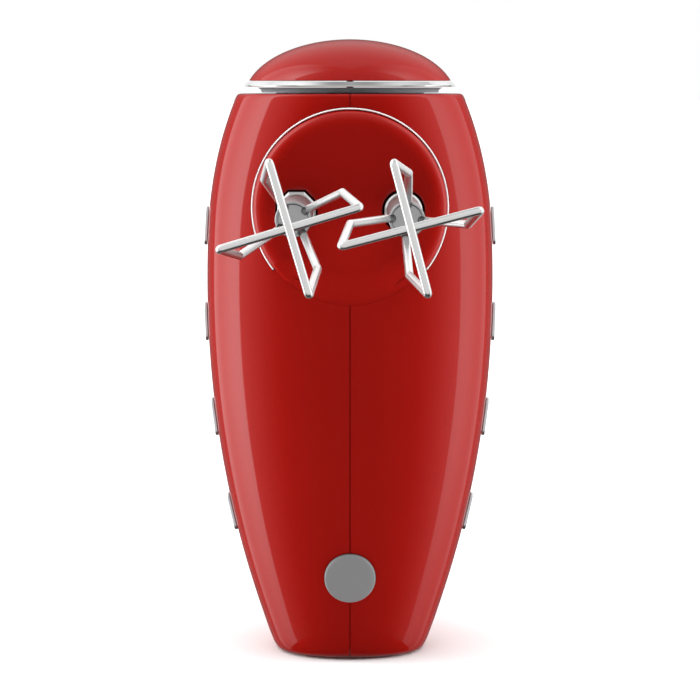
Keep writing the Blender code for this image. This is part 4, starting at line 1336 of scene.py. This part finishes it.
build_beater("left", -SOCKET_X, BEATER_TWIST, 8)
build_beater("right", SOCKET_X, -BEATER_TWIST, 72)

# %% [markdown]
# ## The return spring
# Inside the handle's front end a coil spring pushes the button back. A spiral curve with a round
# section is exactly that shape, so a node tree makes it from its turns, radius and length.

# %% Spring from a spiral
SPRING_TURNS, SPRING_WIRE_R, PRESSED = 6.0, 0.5, 7.0
spring_low, spring_high = node_box("eject_spring")
coil_r = (spring_high.x - spring_low.x) / 2 - SPRING_WIRE_R
length = spring_high.y - spring_low.y - 2 * SPRING_WIRE_R
spring_net = Grower("spring", {
    "Turns": SPRING_TURNS, "Radius": coil_r * MM, "Length": length * MM, "Wire": SPRING_WIRE_R * MM,
})
spiral = spring_net.add("GeometryNodeCurveSpiral", {
    "Resolution": 40, "Rotations": spring_net.given("Turns"), "Height": spring_net.given("Length"),
    "Start Radius": spring_net.given("Radius"), "End Radius": spring_net.given("Radius"),
})
coil = spring_net.tube(spiral, spring_net.given("Wire"), 12)
spring = spring_net.grow("eject_spring_coil", coil, finishes["steel"])
on_socket(spring, 0, spring_low.y + SPRING_WIRE_R, 0.0)
place_piece(creased(spring, 60.0), "housing", "steel", "eject_spring")
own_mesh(spring)

# %% [markdown]
# ## Floor, light and camera
# The floor is a plain pale disc. The gloss wants long, clean lights: a tall band at each side with
# a softer glow before it, and broad pale ones above and behind, while the front is kept dim so that
# the red stays deep. They are drawn into the world by direction, which needs no lamps and leaves
# clean edges in the lacquer. Three soft suns, one above and one at each side, give the shapes
# their body.

# %% Floor
bpy.data.objects.remove(whole)
floor_finish = Finish("pale_floor", specular=0.0)
speckle = floor_finish.noise(floor_finish.place, 4.0)
floor_finish.give(floor_finish.blend(speckle, (0.83, 0.83, 0.83), (0.85, 0.85, 0.85)), 0.9)
floor_mesh = bmesh.new()
FLOOR_R = 30000.0
bmesh.ops.create_circle(floor_mesh, cap_ends=True, segments=96, radius=FLOOR_R)
floor = settle("floor", floor_mesh, floor_finish.material)
floor.visible_glossy = floor.visible_shadow = False

# %% World by direction
world = bpy.data.worlds.new("studio")
bpy.context.scene.world = world
world.use_nodes = True
sky = Net(world.node_tree)
direction = sky.add("ShaderNodeTexCoord", output="Generated")
x, y, z = (sky.part(direction, axis) for axis in "XYZ")
degree = math.degrees(1)
azimuth = sky.maths("ARCTAN2", sky.maths("ABSOLUTE", x), y * -1.0) * degree
elevation = sky.maths("ARCSINE", z) * degree

BAND_STARTS, BAND_ENDS = (89.0, 91.0), (137.0, 141.0)
BAND, RIGHT_DIMMER, GLOW, ABOVE, FILL = 3.3, 1.8, 0.9, 0.45, 0.015
BACK_LOW, BACK_HIGH = 0.15, 0.4
tall = sky.step(elevation, -43.0, -41.0) * (1 - sky.step(elevation, 50.0, 80.0))
tall = tall * (sky.step(elevation, -40.0, -8.0) * 0.65 + 0.35)
fading = 1 - sky.step(azimuth, 88.0, 128.0) * 0.7
behind = sky.step(azimuth, *BAND_ENDS)
band = sky.step(azimuth, *BAND_STARTS) * (1 - behind) * tall
glow = sky.step(azimuth, 40.0, 95.0) * (1 - behind) * tall
rising = sky.step(elevation, 8.0, 30.0) * (1 - sky.step(elevation, 35.0, 65.0) * 0.8)
back = behind * (rising * BACK_HIGH + BACK_LOW)
above = sky.step(elevation, 30.0, 75.0) * ABOVE
right = sky.step(x, -0.1, 0.1)
light = (band * (BAND - right * RIGHT_DIMMER) + glow * GLOW) * fading + back + above + FILL
seen = sky.add("ShaderNodeLightPath", output="Is Camera Ray")
strength = light + seen * (1 - light)
backdrop = world.node_tree.nodes["Background"]
sky.feed(backdrop.inputs["Strength"], strength)
backdrop.inputs["Color"].default_value = (1, 1, 1, 1)


# %% Suns
def lit(name, lamp):
    """A lamp as an object in the scene."""
    obj = bpy.data.objects.new(name, lamp)
    bpy.context.scene.collection.objects.link(obj)
    return obj


def sun(name, degrees_up, degrees_round, strength, spread):
    """Light from that height, that far round from the front towards +X."""
    lamp = bpy.data.lights.new(name, "SUN")
    lamp.energy, lamp.angle = strength, math.radians(spread)
    obj = lit(name, lamp)
    obj.rotation_euler = (math.radians(90 - degrees_up), 0, math.radians(degrees_round))
    obj.visible_glossy = False


sun("top_sun", 80.0, 0.0, 3.2, 70.0)
sun("left_sun", 6.0, -98.0, 3.3, 40.0)
sun("right_sun", 6.0, 98.0, 3.4, 40.0)


# %% [markdown]
# The red lacquer needs a dark front and the metal a bright one. Light linking allows both: white
# cards, one in front and one behind, that only the metal pieces see.

# %% Cards that only the metal sees
METAL = {finishes[key].name for key in ("chrome", "steel", "cast_grey")}
METAL |= {trim_plating.name, ring_plating.name, bar_plating.name}
metal_pieces = bpy.data.collections.new("metal_pieces")
for obj in list(bpy.context.scene.objects):
    if obj.type == "MESH" and any(m and m.name in METAL for m in obj.data.materials):
        metal_pieces.objects.link(obj)


CARDS_FACE = Vector((0, 0, 0.12))


def card(name, place, width, height, watts):
    """A white card that faces the mixer, with its place and sizes in metres."""
    lamp = bpy.data.lights.new(name, "AREA")
    lamp.shape, lamp.size, lamp.size_y, lamp.energy = "RECTANGLE", width, height, watts
    obj = lit(name, lamp)
    obj.location = place
    obj.rotation_mode = "QUATERNION"
    obj.rotation_quaternion = (CARDS_FACE - Vector(place)).to_track_quat("-Z", "Y")
    obj.visible_camera = False
    obj.light_linking.receiver_collection = metal_pieces


card("front_card", (0, -1.8, 0.35), 6.0, 5.0, 68.0)
card("back_card", (0, 1.8, 0.6), 2.6, 2.6, 18.0)

# %% Camera
optics = bpy.data.cameras.new("camera")
optics.lens, optics.sensor_width = 149.5, 36.0
camera = bpy.data.objects.new("camera", optics)
camera.location = (0, -1.003, 0.196)
camera.rotation_euler = (math.radians(84.75), 0, 0)
bpy.context.scene.collection.objects.link(camera)
bpy.context.scene.camera = camera
bpy.context.scene.view_settings.view_transform = "Standard"
